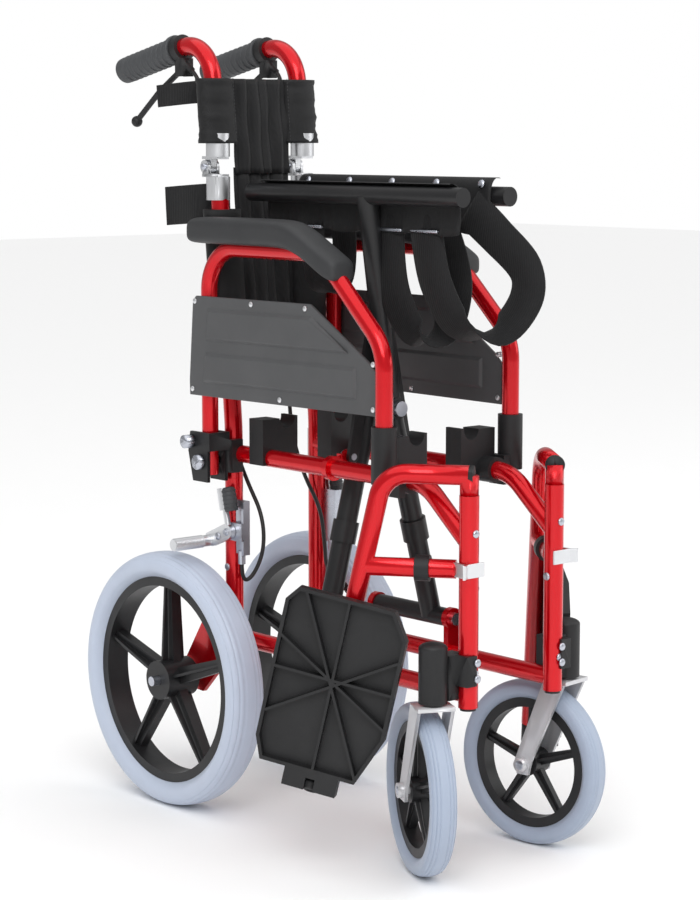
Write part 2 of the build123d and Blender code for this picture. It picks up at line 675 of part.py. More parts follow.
def arm_pad():
    x = frame_half + arm_out
    outline = Polyline(
        (pad_y[0] - 4, pad_z[0]),
        (pad_y[0] + 2, pad_z[1] - 8),
        (pad_y[0] - 8, pad_z[1]),
        (pad_y[1] + 62, pad_z[1]),
        (pad_y[1], pad_z[1] - 34),
        (pad_y[1] + 8, pad_z[0] - 23),
        (pad_y[1] + 40, pad_z[0]),
        close=True,
    )
    pad = extrude(Plane.YZ.offset(x - pad_width / 2) * make_face(outline), amount=pad_width)
    return pad - arm_clear(arm_r + 0.4)


def arm_clear(radius):
    """A rod along the armrest's top run, for cutting what sits on it."""
    x = frame_half + arm_out
    points = [
        (x, arm_rear_y, arm_pivot_z),
        (x, arm_rear_y, arm_top_z),
        (x, arm_slope_y, arm_top_z),
        (x, arm_front_y, arm_shoulder_z),
        (x, arm_front_y, arm_foot_z),
    ]
    return rod(points, radius, [52.0, 60.0, 60.0])


def skirt_guard():
    """The pressed panel inside the armrest tube, with two raised fields."""
    x = frame_half + arm_out
    low, high = skirt_z
    outline = Polyline(
        (arm_rear_y + 22, low),
        (arm_rear_y + 14, high),
        (arm_slope_y + 16, high),
        (arm_front_y + 12, high - 60),
        (arm_front_y + 12, low),
        close=True,
    )
    panel = extrude(Plane.YZ.offset(x - skirt_thick / 2) * make_face(outline), amount=skirt_thick)
    for band in ((low + 14, low + 52), (low + 66, high - 14)):
        face = (x + skirt_thick / 2 - 1, x + skirt_thick / 2 + 1.5)
        front = arm_front_y + 45 if band[1] < low + 60 else arm_slope_y - 2
        panel += bar(face, (arm_rear_y - 14, front), band)
    return panel - arm_clear(arm_r + 0.1)


# ---------------------------------------------------------------- parking brake
def brake_arm():
    """Lever with its hand grip, serrated shoe bar and link, on one pivot."""
    x = frame_half + brake_out
    py, pz = brake_pivot
    sy, sz = shoe_at
    hub = along(0, (x - 3.5, py, pz), (x + 3.5, py, pz), 9.0)
    crank = Polyline(
        (py - 6, pz + 7),
        (py + 8, pz + 8),
        (sy + 6, sz + 8),
        (sy + 6, sz - 7),
        (sy - 8, sz - 6),
        (py - 4, pz - 8),
        close=True,
    )
    arm = extrude(Plane.YZ.offset(x - 3) * make_face(crank), amount=6)
    bar_end = frame_half + wheel_out + tyre_width / 2
    shoe = along(0, (x - 3, sy, sz), (bar_end, sy, sz), 7.0)
    lever = rod([(x, py, pz + 4), (x, py + 8, pz + 34)], 3.8)
    hand = rod([(x, py + 6, pz + 26), (x, py + 12, pz + 52)], 7.0)
    hole = along(0, (x - 9, py, pz), (x + 9, py, pz), 3.05)
    return hub + arm + shoe + lever + hand - hole


# ---------------------------------------------------------------- footrest
def hanger_point(reach, across, z):
    """A point in the stowed hanger's plane: reach from its swivel, across towards the plate."""
    x = frame_half + arm_dir[0] * reach + plate_dir[0] * across
    return (x, front_y + arm_dir[1] * reach + plate_dir[1] * across, z)


def slant_reach(z):
    return hanger_reach + (hanger_z - z) * tan(radians(hanger_slant))


def hanger():
    """Swing-away hanger: top arm, slanting tube, brace, swivel pin and latch."""
    main = [hanger_point(0, 0, hanger_z), hanger_point(hanger_reach, 0, hanger_z)]
    main.append(hanger_point(slant_reach(hanger_foot_z), 0, hanger_foot_z))
    brace = [hanger_point(reach, 0, hanger_brace_z) for reach in (tube_r + 6, slant_reach(hanger_brace_z))]
    hollow = [hanger_point(tube_r + 4, 0, hanger_z), *main[1:]]
    outer = rod(main, tube_r, [34.0]) + rod(brace, run_r)
    inner = rod(hollow, bore_r, [34.0]) + rod(brace, run_bore_r)
    swivel = (frame_half, front_y)
    collar = along(2, (*swivel, front_upright_top_z + 0.3), (*swivel, hanger_z), run_r)
    pin = along(2, (*swivel, front_upright_top_z - 60), (*swivel, hanger_z), bore_r - 0.4)
    return group(outer + collar + pin - inner, hanger_cap(), hanger_foot(), *hanger_latch())


def hanger_cap():
    """Black plug in the open front end of the top arm."""
    a = Vector(*hanger_point(0, 0, hanger_z))
    axis = (Vector(*hanger_point(1, 0, hanger_z)) - a).normalized()
    return extrude(Plane(origin=a - axis * 5, z_dir=axis) * Circle(tube_r), amount=5)


def hanger_latch():
    """The release latch on the brace's inner end and the plug behind it."""
    a = Vector(*hanger_point(tube_r + 6, 0, hanger_brace_z))
    axis = (Vector(*hanger_point(tube_r + 7, 0, hanger_brace_z)) - a).normalized()
    plug = extrude(Plane(origin=a - axis * 3, z_dir=axis) * Circle(run_r), amount=3)
    block = Plane(origin=a + axis * 26, z_dir=axis)
    ring = extrude(block * (Circle(run_r + 4) - Circle(run_r + 0.1)), amount=16)
    return plug, ring


def hanger_foot():
    """Casting in the tube's foot with the lug and pin that the footplate turns on."""
    plane = plate_frame()
    up = plane.y_dir
    end = Vector(*hanger_point(slant_reach(hanger_foot_z), 0, hanger_foot_z))
    casting = extrude(Plane(origin=end - up * 24, z_dir=up) * Circle(run_r), amount=24)
    casting += extrude(Plane(origin=end - up, z_dir=up) * Circle(bore_r - 0.1), amount=19)
    depth = tube_r + plate_gap
    y, z = plate_pivot
    casting += plane * Pos(0, y, (z - depth) / 2) * Box(10, 12, depth + z)
    casting += plane * Pos(0, y, z) * Rot(0, 90, 0) * Cylinder(6.0, 10)
    return casting + plane * Pos(0, y, z) * Rot(0, 90, 0) * Cylinder(3.0, 62)


def plate_frame():
    """The flipped-up footplate's plane: origin at its hinge, x along it, z out of its face."""
    slant = radians(hanger_slant)
    x_dir = Vector(arm_dir[0] * cos(slant), arm_dir[1] * cos(slant), sin(slant))
    origin = hanger_point(slant_reach(hanger_foot_z), tube_r + plate_gap, hanger_foot_z)
    return Plane(origin=origin, x_dir=x_dir, z_dir=(plate_dir[0], plate_dir[1], 0))


def footplate():
    """Moulded plate with a ribbed underside, standing up on its hinge block."""
    plane = plate_frame()
    w, l = plate_width / 2, plate_length
    # the plate's own y axis points up the slanting tube
    outline = Polyline(
        (-w + 22, 4),
        (w - 10, 4),
        (w, 30),
        (w, l - 16),
        (w - 12, l),
        (-w + 20, l),
        (-w, l - 30),
        (-w, 60),
        close=True,
    )
    face = make_face(outline)
    skin = extrude(plane * face, amount=plate_skin)
    walls = extrude(plane * (face - offset(face, amount=-4)), amount=plate_rib)
    ribs = None
    rib_lines = (
        ((-w, 70), (w, 150)),
        ((-w + 4, 150), (w - 4, 60)),
        ((0, 6), (0, l - 4)),
        ((-w + 3, 112), (w - 3, 112)),
        ((-w + 22, 8), (w - 20, l)),
    )
    for a, b in rib_lines:
        run = Line(a, b)
        length = run.length
        angle = degrees(atan2(b[1] - a[1], b[0] - a[0]))
        mid = ((a[0] + b[0]) / 2, (a[1] + b[1]) / 2)
        strip = Pos(*mid) * Rot(0, 0, angle) * Rectangle(length, 3.0)
        rib = extrude(plane * (strip & face), amount=plate_rib)
        ribs = rib if ribs is None else ribs + rib
    y, z = plate_pivot
    block = plane * Pos(0, -5, plate_rib / 2) * Box(62, 24, plate_rib)
    slot = plane * Pos(0, y, plate_rib / 2) * Box(10.8, 16, plate_rib + 2)
    bore = plane * Pos(0, y, z) * Rot(0, 90, 0) * Cylinder(3.05, 80)
    return skin + walls + ribs + block - slot - bore


# ---------------------------------------------------------------- build
for name in SIDES:
    rim, rubber = rear_wheel()
    fork, castor_rim, castor_tyre = castor(castor_turn[name])
    pieces = {
        "side_frame": side_frame(),
        "frame_plastics": frame_plastics(),
        "armrest_bracket": arm_bracket(),
        "frame_hardware": frame_hardware(),
        "castor_housing": castor_housing(),
        "rear_rim": rim,
        "rear_tyre": rubber,
        "castor_fork": fork,
        "castor_rim": castor_rim,
        "castor_tyre": castor_tyre,
        "cross_tube": cross_tube(name),
        "seat_rail": seat_rail(),
        "link_bar": link_bar(),
        "back_hinge_lower": back_hinge(False),
        "back_hinge_upper": back_hinge(True),
        "handle_tube": handle_tube(),
        "hand_grip": hand_grip(),
        "brake_perch": brake_perch(),
        "brake_lever": brake_lever(),
        "back_sleeve": back_sleeve(),
        "back_panel_lower": back_panel(False),
        "back_panel_upper": back_panel(True),
        "brake_cable": brake_cable(),
        "armrest_tube": arm_tube(),
        "arm_pad": arm_pad(),
        "skirt_guard": skirt_guard(),
        "brake_arm": brake_arm(),
        "hanger": hanger(),
        "footplate": footplate(),
    }
    for piece, shape in pieces.items():
        save(f"{name}_{piece}", side(shape, name))

save("seat_sling", seat_sling())
save("centre_pivot_bolt", pivot_bolt())
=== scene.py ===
"""Looks of a folding transit wheelchair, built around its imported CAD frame.

Metres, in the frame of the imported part: +X is the user's left, -Y is forward and +Z is up.
Pieces that come in pairs are drawn for the left side and mirrored for the right.
"""

from __future__ import annotations

import json
import logging
from dataclasses import dataclass, field
from enum import Enum
from math import cos, dist, pi, radians, sin, tan
from typing import Iterable, Sequence

import bmesh
import bpy
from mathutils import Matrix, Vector


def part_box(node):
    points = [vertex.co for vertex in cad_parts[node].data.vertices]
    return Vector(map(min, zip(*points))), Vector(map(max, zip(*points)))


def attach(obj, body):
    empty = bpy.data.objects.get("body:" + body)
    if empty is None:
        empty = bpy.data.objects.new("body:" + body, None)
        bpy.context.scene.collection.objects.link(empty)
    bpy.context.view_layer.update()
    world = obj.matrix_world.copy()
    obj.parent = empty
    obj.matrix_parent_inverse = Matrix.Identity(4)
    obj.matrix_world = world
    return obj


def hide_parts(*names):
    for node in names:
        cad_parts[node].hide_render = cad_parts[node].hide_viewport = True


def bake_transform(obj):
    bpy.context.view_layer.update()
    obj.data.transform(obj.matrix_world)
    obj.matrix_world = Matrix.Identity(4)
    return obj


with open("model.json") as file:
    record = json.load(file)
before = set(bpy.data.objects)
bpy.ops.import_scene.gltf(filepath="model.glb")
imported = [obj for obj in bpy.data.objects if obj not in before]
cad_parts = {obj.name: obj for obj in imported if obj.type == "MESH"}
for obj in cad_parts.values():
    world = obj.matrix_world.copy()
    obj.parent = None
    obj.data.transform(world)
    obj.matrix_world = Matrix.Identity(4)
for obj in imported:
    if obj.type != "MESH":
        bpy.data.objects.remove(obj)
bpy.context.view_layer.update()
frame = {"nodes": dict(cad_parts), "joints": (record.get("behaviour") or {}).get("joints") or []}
LOG = logging.getLogger("wheelchair")
Point = Sequence[float]


class Side(Enum):
    """A side of the chair, as its user sees it."""

    RIGHT = "right"
    LEFT = "left"

    @property
    def sign(self) -> int:
        """The side's direction along X."""
        return 1 if self is Side.LEFT else -1

    def node(self, piece: str) -> str:
        """The side's name for a CAD node or body."""
        return f"{self.value}_{piece}"


def joint_place(name: str) -> Vector:
    """Where a joint of the record lies.

    Args:
        name: The joint's name.

    Returns:
        Its point in the row frame.
    """
    found = next(j for j in frame["joints"] if j["name"] == name)
    return Vector(found["pos_m"])


def joint_axis(name: str) -> Vector:
    """The unit direction of a joint of the record.

    Args:
        name: The joint's name.

    Returns:
        Its axis in the row frame.
    """
    found = next(j for j in frame["joints"] if j["name"] == name)
    return Vector(found["axis"]).normalized()


# ---------------------------------------------------------------- shader groups
class ShaderSheet:
    """Short calls for placing and joining shader nodes in one tree."""

    def __init__(self, tree: bpy.types.NodeTree) -> None:
        """Keeps the tree that the nodes go in."""
        self.tree = tree

    def add(self, kind: str, **values: object) -> bpy.types.Node:
        """Adds a node.

        Args:
            kind: The node's type name.
            values: Properties, or inputs where the name is an input's with underscores.

        Returns:
            The new node.
        """
        node = self.tree.nodes.new(kind)
        for key, value in values.items():
            if hasattr(node, key):
                setattr(node, key, value)
            else:
                node.inputs[key.replace("_", " ")].default_value = value
        return node

    def join(self, source: bpy.types.NodeSocket, target: bpy.types.NodeSocket) -> None:
        """Links two sockets."""
        self.tree.links.new(source, target)


def shader_group(name: str, inputs: dict[str, float], outputs: Iterable[str]) -> tuple:
    """An empty shader node group with object coordinates ready in it.

    Args:
        name: The group's name.
        inputs: Its float inputs with their defaults.
        outputs: The names of its float outputs.

    Returns:
        The group, its sheet, its input and output nodes and its coordinate node.
    """
    group = bpy.data.node_groups.new(name, "ShaderNodeTree")
    for key, value in inputs.items():
        socket = group.interface.new_socket(key, in_out="INPUT", socket_type="NodeSocketFloat")
        socket.default_value = value
    for key in outputs:
        group.interface.new_socket(key, in_out="OUTPUT", socket_type="NodeSocketFloat")
    sheet = ShaderSheet(group)
    return (
        group,
        sheet,
        sheet.add("NodeGroupInput"),
        sheet.add("NodeGroupOutput"),
        sheet.add("ShaderNodeTexCoord"),
    )


def grain_group() -> bpy.types.NodeTree:
    """Fine moulding grain, and a slow mottling for gloss."""
    group, sheet, given, out, where = shader_group(
        "moulded_grain", {"Grain Scale": 900.0, "Mottle Scale": 14.0}, ("Height", "Mottle")
    )
    fine = sheet.add("ShaderNodeTexNoise", Detail=3.0, Roughness=0.6)
    slow = sheet.add("ShaderNodeTexNoise", Detail=4.0, Roughness=0.55)
    for noise, scale in ((fine, "Grain Scale"), (slow, "Mottle Scale")):
        sheet.join(where.outputs["Object"], noise.inputs["Vector"])
        sheet.join(given.outputs[scale], noise.inputs["Scale"])
    sheet.join(fine.outputs["Fac"], out.inputs["Height"])
    sheet.join(slow.outputs["Fac"], out.inputs["Mottle"])
    return group


def weave_group() -> bpy.types.NodeTree:
    """Crossed yarns: a height, and the same value as a shade for the colour, which is painted highlight on
    the yarns' crests and painted shade between them, with slub noise as real tone of the yarns.
    """
    group, sheet, given, out, where = shader_group(
        "crossed_weave", {"Yarns": 420.0, "Slub": 0.35}, ("Height", "Shade")
    )
    waves = []
    for turn in ((0.0, 0.0, 0.0), (pi / 2, 0.0, pi / 4)):
        mapping = sheet.add("ShaderNodeMapping")
        mapping.inputs["Rotation"].default_value = turn
        wave = sheet.add("ShaderNodeTexWave", Distortion=0.6, Detail=1.0)
        wave.bands_direction = "DIAGONAL" if turn[0] else "Z"
        sheet.join(where.outputs["Object"], mapping.inputs["Vector"])
        sheet.join(mapping.outputs["Vector"], wave.inputs["Vector"])
        sheet.join(given.outputs["Yarns"], wave.inputs["Scale"])
        waves.append(wave)
    both = sheet.add("ShaderNodeMath", operation="MULTIPLY")
    sheet.join(waves[0].outputs["Fac"], both.inputs[0])
    sheet.join(waves[1].outputs["Fac"], both.inputs[1])
    slub = sheet.add("ShaderNodeTexNoise", Scale=60.0, Detail=2.0)
    sheet.join(where.outputs["Object"], slub.inputs["Vector"])
    soft = sheet.add("ShaderNodeMath", operation="MULTIPLY")
    sheet.join(slub.outputs["Fac"], soft.inputs[0])
    sheet.join(given.outputs["Slub"], soft.inputs[1])
    total = sheet.add("ShaderNodeMath", operation="ADD")
    sheet.join(both.outputs[0], total.inputs[0])
    sheet.join(soft.outputs[0], total.inputs[1])
    sheet.join(total.outputs[0], out.inputs["Height"])
    # The same height goes out as Shade: painted shade between the yarns and painted highlight on their
    # crests, plus slub noise as real tone.
    sheet.join(total.outputs[0], out.inputs["Shade"])
    return group


def handling_group() -> bpy.types.NodeTree:
    """Dust and fine scuffs that gather in patches."""
    group, sheet, given, out, where = shader_group(
        "handling_marks", {"Patch Scale": 9.0, "Amount": 0.5}, ("Mask",)
    )
    patch = sheet.add("ShaderNodeTexNoise", Detail=6.0, Roughness=0.7)
    sheet.join(where.outputs["Object"], patch.inputs["Vector"])
    sheet.join(given.outputs["Patch Scale"], patch.inputs["Scale"])
    ramp = sheet.add("ShaderNodeMapRange", From_Min=0.42, From_Max=0.78, To_Min=0.0, To_Max=1.0)
    sheet.join(patch.outputs["Fac"], ramp.inputs["Value"])
    scaled = sheet.add("ShaderNodeMath", operation="MULTIPLY")
    sheet.join(ramp.outputs["Result"], scaled.inputs[0])
    sheet.join(given.outputs["Amount"], scaled.inputs[1])
    sheet.join(scaled.outputs[0], out.inputs["Mask"])
    return group


@dataclass(frozen=True)
class SharedEffects:
    """The shader groups that the finishes share.

    Attributes:
        grain: Fine relief, as of moulded plastic.
        weave: Over-and-under relief of cloth, also used as painted shade between its yarns, with real slub
            tone.
        handling: Drift of colour from use.
    """

    grain: bpy.types.NodeTree
    weave: bpy.types.NodeTree
    handling: bpy.types.NodeTree


EFFECTS = SharedEffects(grain_group(), weave_group(), handling_group())


# ---------------------------------------------------------------- finishes
@dataclass(frozen=True)
class Finish:
    """A surface finish.

    Attributes:
        name: The material's name.
        slot: The record's material slot that it belongs to; not used.
        colour: Linear base colour.
        worn: Linear colour that dust drifts towards.
        drift: How far the colour drifts, from 0 to 1.
        rough: Lowest and highest roughness.
        metal: Metallic value.
        coat: Clear-coat weight.
        sheen: Sheen weight.
        specular: Specular level.
        grain: Grain scale, per metre.
        bump: Bump strength.
        height: Bump distance in metres.
        woven: Whether the bump is a weave, which also paints highlight on the yarns' crests and shade between
            them.
    """

    name: str
    slot: str
    colour: tuple[float, float, float]
    worn: tuple[float, float, float]
    drift: float = 0.25
    rough: tuple[float, float] = (0.4, 0.5)
    metal: float = 0.0
    coat: float = 0.0
    sheen: float = 0.0
    specular: float = 0.5
    grain: float = 900.0
    bump: float = 0.2
    height: float = 0.0003
    woven: bool = False

    def material(self) -> bpy.types.Material:
        """The finish's material, built at its first use."""
        made = bpy.data.materials.get(self.name)
        return made if made else self._build()

    def _build(self) -> bpy.types.Material:
        """Builds the node tree.

        Returns:
            The new material.
        """
        material = bpy.data.materials.new(self.name)
        material.use_nodes = True
        sheet = ShaderSheet(material.node_tree)
        shader = material.node_tree.nodes["Principled BSDF"]
        shader.inputs["Metallic"].default_value = self.metal
        shader.inputs["Coat Weight"].default_value = self.coat
        shader.inputs["Coat Roughness"].default_value = 0.06
        shader.inputs["Sheen Weight"].default_value = self.sheen
        shader.inputs["Specular IOR Level"].default_value = self.specular
        surface = sheet.add("ShaderNodeGroup", node_tree=EFFECTS.grain)
        surface.inputs["Grain Scale"].default_value = self.grain
        marks = sheet.add("ShaderNodeGroup", node_tree=EFFECTS.handling)
        marks.inputs["Amount"].default_value = self.drift
        shade = sheet.add("ShaderNodeMix", data_type="RGBA")
        shade.inputs["A"].default_value = (*self.colour, 1.0)
        shade.inputs["B"].default_value = (*self.worn, 1.0)
        sheet.join(marks.outputs["Mask"], shade.inputs["Factor"])
        tint: bpy.types.NodeSocket = shade.outputs["Result"]
        height = surface.outputs["Height"]
        if self.woven:
            cloth = sheet.add("ShaderNodeGroup", node_tree=EFFECTS.weave)
            cloth.inputs["Yarns"].default_value = self.grain
            height = cloth.outputs["Height"]
            # Woven finishes are painted lighter where the weave stands high: painted highlight on the yarns'
            # crests and painted shade between them, with the slub noise as real tone of the cloth.
            crest_light_and_slub = sheet.add("ShaderNodeMix", data_type="RGBA")
            crest_light_and_slub.inputs["B"].default_value = (*(c * 2.2 for c in self.colour), 1.0)
            sheet.join(cloth.outputs["Shade"], crest_light_and_slub.inputs["Factor"])
            sheet.join(tint, crest_light_and_slub.inputs["A"])
            tint = crest_light_and_slub.outputs["Result"]
        sheet.join(tint, shader.inputs["Base Color"])
        gloss = sheet.add("ShaderNodeMapRange", From_Min=0.3, From_Max=0.7)
        gloss.inputs["To Min"].default_value = self.rough[0]
        gloss.inputs["To Max"].default_value = self.rough[1]
        sheet.join(surface.outputs["Mottle"], gloss.inputs["Value"])
        sheet.join(gloss.outputs["Result"], shader.inputs["Roughness"])
        bump = sheet.add("ShaderNodeBump")
        bump.inputs["Strength"].default_value = self.bump
        bump.inputs["Distance"].default_value = self.height
        sheet.join(height, bump.inputs["Height"])
        sheet.join(bump.outputs["Normal"], shader.inputs["Normal"])
        return material


RED = Finish("red_gloss_paint", "red_frame", (0.62, 0.0, 0.006), (0.48, 0.0, 0.005), 0.3,
             (0.16, 0.26), metal=0.55, coat=0.35, specular=0.4, grain=320.0, bump=0.03)
BLACK_PAINT = Finish("black_satin_paint", "black_metal", (0.010, 0.010, 0.011), (0.022, 0.022, 0.023),
                     0.5, (0.34, 0.46), coat=0.1, specular=0.35, grain=700.0, bump=0.08)
BLACK_MOULD = Finish("black_moulded_nylon", "black_plastic", (0.012, 0.012, 0.013), (0.03, 0.03, 0.031),
                     0.5, (0.4, 0.55), specular=0.35, grain=1100.0, bump=0.22)
RIM = Finish("black_wheel_nylon", "rim_plastic", (0.010, 0.010, 0.011), (0.03, 0.03, 0.032),
             0.5, (0.34, 0.48), specular=0.4, grain=1200.0, bump=0.2)
ZINC = Finish("blued_zinc_plate", "zinc_steel", (0.52, 0.54, 0.60), (0.40, 0.42, 0.48), 0.5,
              (0.22, 0.36), metal=1.0, grain=1400.0, bump=0.1)
ALUMINIUM = Finish("satin_aluminium", "bright_aluminium", (0.74, 0.75, 0.77), (0.58, 0.59, 0.61), 0.45,
                   (0.26, 0.4), metal=1.0, grain=1200.0, bump=0.12)
SILVER = Finish("silver_fork_lacquer", "silver_fork", (0.62, 0.62, 0.64), (0.5, 0.5, 0.52), 0.4,
                (0.3, 0.42), metal=0.35, coat=0.3, grain=1000.0, bump=0.06)
TYRE = Finish("pale_grey_tyre", "grey_tyre", (0.50, 0.56, 0.68), (0.40, 0.45, 0.55), 0.4,
              (0.42, 0.56), sheen=0.15, grain=700.0, bump=0.18)
CASTOR_TYRE = Finish("blue_grey_castor_tyre", "castor_tyre", (0.36, 0.42, 0.53), (0.28, 0.33, 0.42), 0.4,
                     (0.4, 0.54), sheen=0.15, grain=700.0, bump=0.18)
GRIP = Finish("ribbed_grip_vinyl", "grip_rubber", (0.055, 0.058, 0.062), (0.085, 0.088, 0.092), 0.5,
              (0.5, 0.66), specular=0.4, grain=1300.0, bump=0.3)
PAD = Finish("skinned_pad_foam", "pad_foam", (0.026, 0.027, 0.029), (0.045, 0.046, 0.049), 0.5,
             (0.5, 0.64), specular=0.45, grain=1000.0, bump=0.35)
GUARD = Finish("grey_guard_plastic", "skirt_plastic", (0.068, 0.069, 0.072), (0.1, 0.101, 0.105), 0.4,
               (0.42, 0.56), specular=0.45, grain=1100.0, bump=0.3)
NYLON = Finish("black_back_nylon", "black_fabric", (0.0055, 0.0055, 0.006), (0.012, 0.012, 0.0125), 0.4,
               (0.55, 0.7), sheen=0.05, specular=0.3, grain=380.0, bump=0.45, height=0.0003, woven=True)
WEBBING = Finish("black_webbing", "black_fabric", (0.006, 0.006, 0.0065), (0.013, 0.013, 0.0135), 0.4,
                 (0.6, 0.74), sheen=0.05, specular=0.25, grain=240.0, bump=0.7, height=0.0005, woven=True)
CABLE = Finish("black_cable_jacket", "cable_rubber", (0.011, 0.011, 0.011), (0.025, 0.025, 0.025), 0.4,
               (0.36, 0.5), grain=1500.0, bump=0.1)
THREAD = Finish("grey_black_thread", "black_fabric", (0.045, 0.045, 0.048), (0.06, 0.06, 0.062), 0.3,
                (0.6, 0.7), grain=2400.0, bump=0.3)

NODE_FINISHES: dict[str, Finish] = {
    "side_frame": RED,
    "frame_plastics": BLACK_MOULD,
    "armrest_bracket": BLACK_MOULD,
    "frame_hardware": ZINC,
    "castor_housing": BLACK_MOULD,
    "rear_rim": RIM,
    "rear_tyre": TYRE,
    "castor_fork": SILVER,
    "castor_rim": RIM,
    "castor_tyre": CASTOR_TYRE,
    "cross_tube": BLACK_PAINT,
    "seat_rail": BLACK_PAINT,
    "link_bar": BLACK_PAINT,
    "back_hinge_lower": ALUMINIUM,
    "back_hinge_upper": ALUMINIUM,
    "handle_tube": RED,
    "hand_grip": GRIP,
    "brake_perch": BLACK_MOULD,
    "brake_lever": BLACK_MOULD,
    "back_sleeve": NYLON,
    "back_panel_lower": NYLON,
    "back_panel_upper": NYLON,
    "brake_cable": CABLE,
    "armrest_tube": RED,
    "arm_pad": PAD,
    "skirt_guard": GUARD,
    "brake_arm": ALUMINIUM,
    "hanger": RED,
    "footplate": BLACK_MOULD,
}


def dress_cad_nodes() -> None:
    """Gives every CAD node its finish."""
    for name, node in frame["nodes"].items():
        piece = name.split("_", 1)[1] if name.split("_", 1)[0] in ("right", "left") else name
        finish = {"seat_sling": WEBBING, "centre_pivot_bolt": ZINC}.get(name) or NODE_FINISHES[piece]
        node.data.materials.clear()
        node.data.materials.append(finish.material())
        LOG.info("dressed %s in %s", name, finish.name)


# ---------------------------------------------------------------- mesh making
class Draft:
    """A mesh being drawn for the left side, in the row frame."""

    def __init__(self) -> None:
        """Starts an empty mesh."""
        self.mesh = bmesh.new()

    def rings(self, rings: Sequence[Sequence[Vector]], closed: bool = False, capped: bool = True) -> None:
        """Skins a run of rings that have the same number of points.

        Args:
            rings: The rings' points, in order.
            closed: Whether the last ring joins the first.
            capped: Whether the end rings are filled.
        """
        made = [[self.mesh.verts.new(p) for p in ring] for ring in rings]
        pairs = list(zip(made, made[1:])) + ([(made[-1], made[0])] if closed else [])
        for first, second in pairs:
            for i in range(len(first)):
                k = (i + 1) % len(first)
                self.mesh.faces.new((first[i], first[k], second[k], second[i]))
        if capped and not closed:
            self.mesh.faces.new(made[0])
            self.mesh.faces.new(list(reversed(made[-1])))

    def turned(
        self, profile: Sequence[tuple[float, float]], centre: Vector, axis: Vector, steps: int
    ) -> None:
        """Turns a closed profile about an axis.

        Args:
            profile: Points as distance along the axis and radius.
            centre: Where the axis distance is zero.
            axis: The axis's unit direction.
            steps: Steps round the axis.
        """
        across = axis.orthogonal().normalized()
        up = axis.cross(across)
        rings = []
        for i in range(steps):
            turn = 2 * pi * i / steps
            spoke = across * cos(turn) + up * sin(turn)
            rings.append([centre + axis * along + spoke * radius for along, radius in profile])
        self.rings(rings, closed=True)

    def ribbon(self, line: Sequence[Vector], width: Sequence[Vector], thick: float) -> None:
        """A flat band along a line.

        Args:
            line: The band's middle points.
            width: For each point, half the band's width as a vector.
            thick: The band's thickness.
        """
        rings = []
        for i, (point, half) in enumerate(zip(line, width)):
            ahead = line[min(i + 1, len(line) - 1)] - line[max(i - 1, 0)]
            out = ahead.cross(half).normalized() * thick / 2
            edge = half * 0.985
            rings.append([
                point - edge + out, point + out * 1.15, point + edge + out, point + half,
                point + edge - out, point - out * 1.15, point - edge - out, point - half,
            ])
        self.rings(rings)

    def plate(self, outline: Sequence[tuple[float, float]], x: tuple[float, float]) -> None:
        """A flat plate in the YZ plane.

        Args:
            outline: Its corners as Y and Z.
            x: Its two faces' places.
        """
        self.rings([[Vector((at, y, z)) for y, z in outline] for at in x])

    def finish(
        self, name: str, finish: Finish, side: Side = Side.LEFT, smooth: bool = True
    ) -> bpy.types.Object:
        """Makes the object, mirrored for the right side.

        Args:
            name: The object's name.
            finish: Its finish.
            side: The side that it is for.
            smooth: Whether its faces shade smoothly.

        Returns:
            The object at the origin.
        """
        if side is Side.RIGHT:
            bmesh.ops.scale(self.mesh, vec=(-1, 1, 1), verts=self.mesh.verts)
        bmesh.ops.remove_doubles(self.mesh, verts=self.mesh.verts, dist=1e-6)
        bmesh.ops.recalc_face_normals(self.mesh, faces=self.mesh.faces)
        data = bpy.data.meshes.new(name)
        self.mesh.to_mesh(data)
        self.mesh.free()
        for polygon in data.polygons:
            polygon.use_smooth = smooth
        data.materials.append(finish.material())
        piece = bpy.data.objects.new(name, data)
        bpy.context.scene.collection.objects.link(piece)
        LOG.info("made %s with %d faces", name, len(data.polygons))
        return piece


def modified(piece: bpy.types.Object, kind: str, **values: object) -> bpy.types.Object:
    """Adds a modifier and applies it.

    Args:
        piece: The object.
        kind: The modifier's type.
        values: Its settings.

    Returns:
        The object with its new mesh.
    """
    modifier = piece.modifiers.new(kind.lower(), kind)
    for key, value in values.items():
        setattr(modifier, key, value)
    return settled(piece)


def settled(piece: bpy.types.Object) -> bpy.types.Object:
    """Replaces an object's mesh with its evaluated one and removes its modifiers."""
    bpy.context.view_layer.update()
    shaped = piece.evaluated_get(bpy.context.evaluated_depsgraph_get())
    data = bpy.data.meshes.new_from_object(shaped)
    piece.modifiers.clear()
    piece.data = data
    return piece


def smooth_line(points: Sequence[Point], steps: int, closed: bool = False) -> list[Vector]:
    """Points on a smooth line near the given ones.

    Args:
        points: Control points.
        steps: Steps between neighbours.
        closed: Whether the line closes on itself.

    Returns:
        Points of the Catmull-Rom line through them.
    """
    given = [Vector(p) for p in points]
    line = []
    count = len(given)
    for i in range(count if closed else count - 1):
        a, b, c, d = (
            given[k % count] if closed else given[max(0, min(k, count - 1))] for k in range(i - 1, i + 3)
        )
        for s in range(steps):
            t = s / steps
            line.append(0.5 * (2 * b + (c - a) * t + (2 * a - 5 * b + 4 * c - d) * t * t
                               + (3 * b - a - 3 * c + d) * t ** 3))
    if not closed:
        line.append(given[-1])
    return line


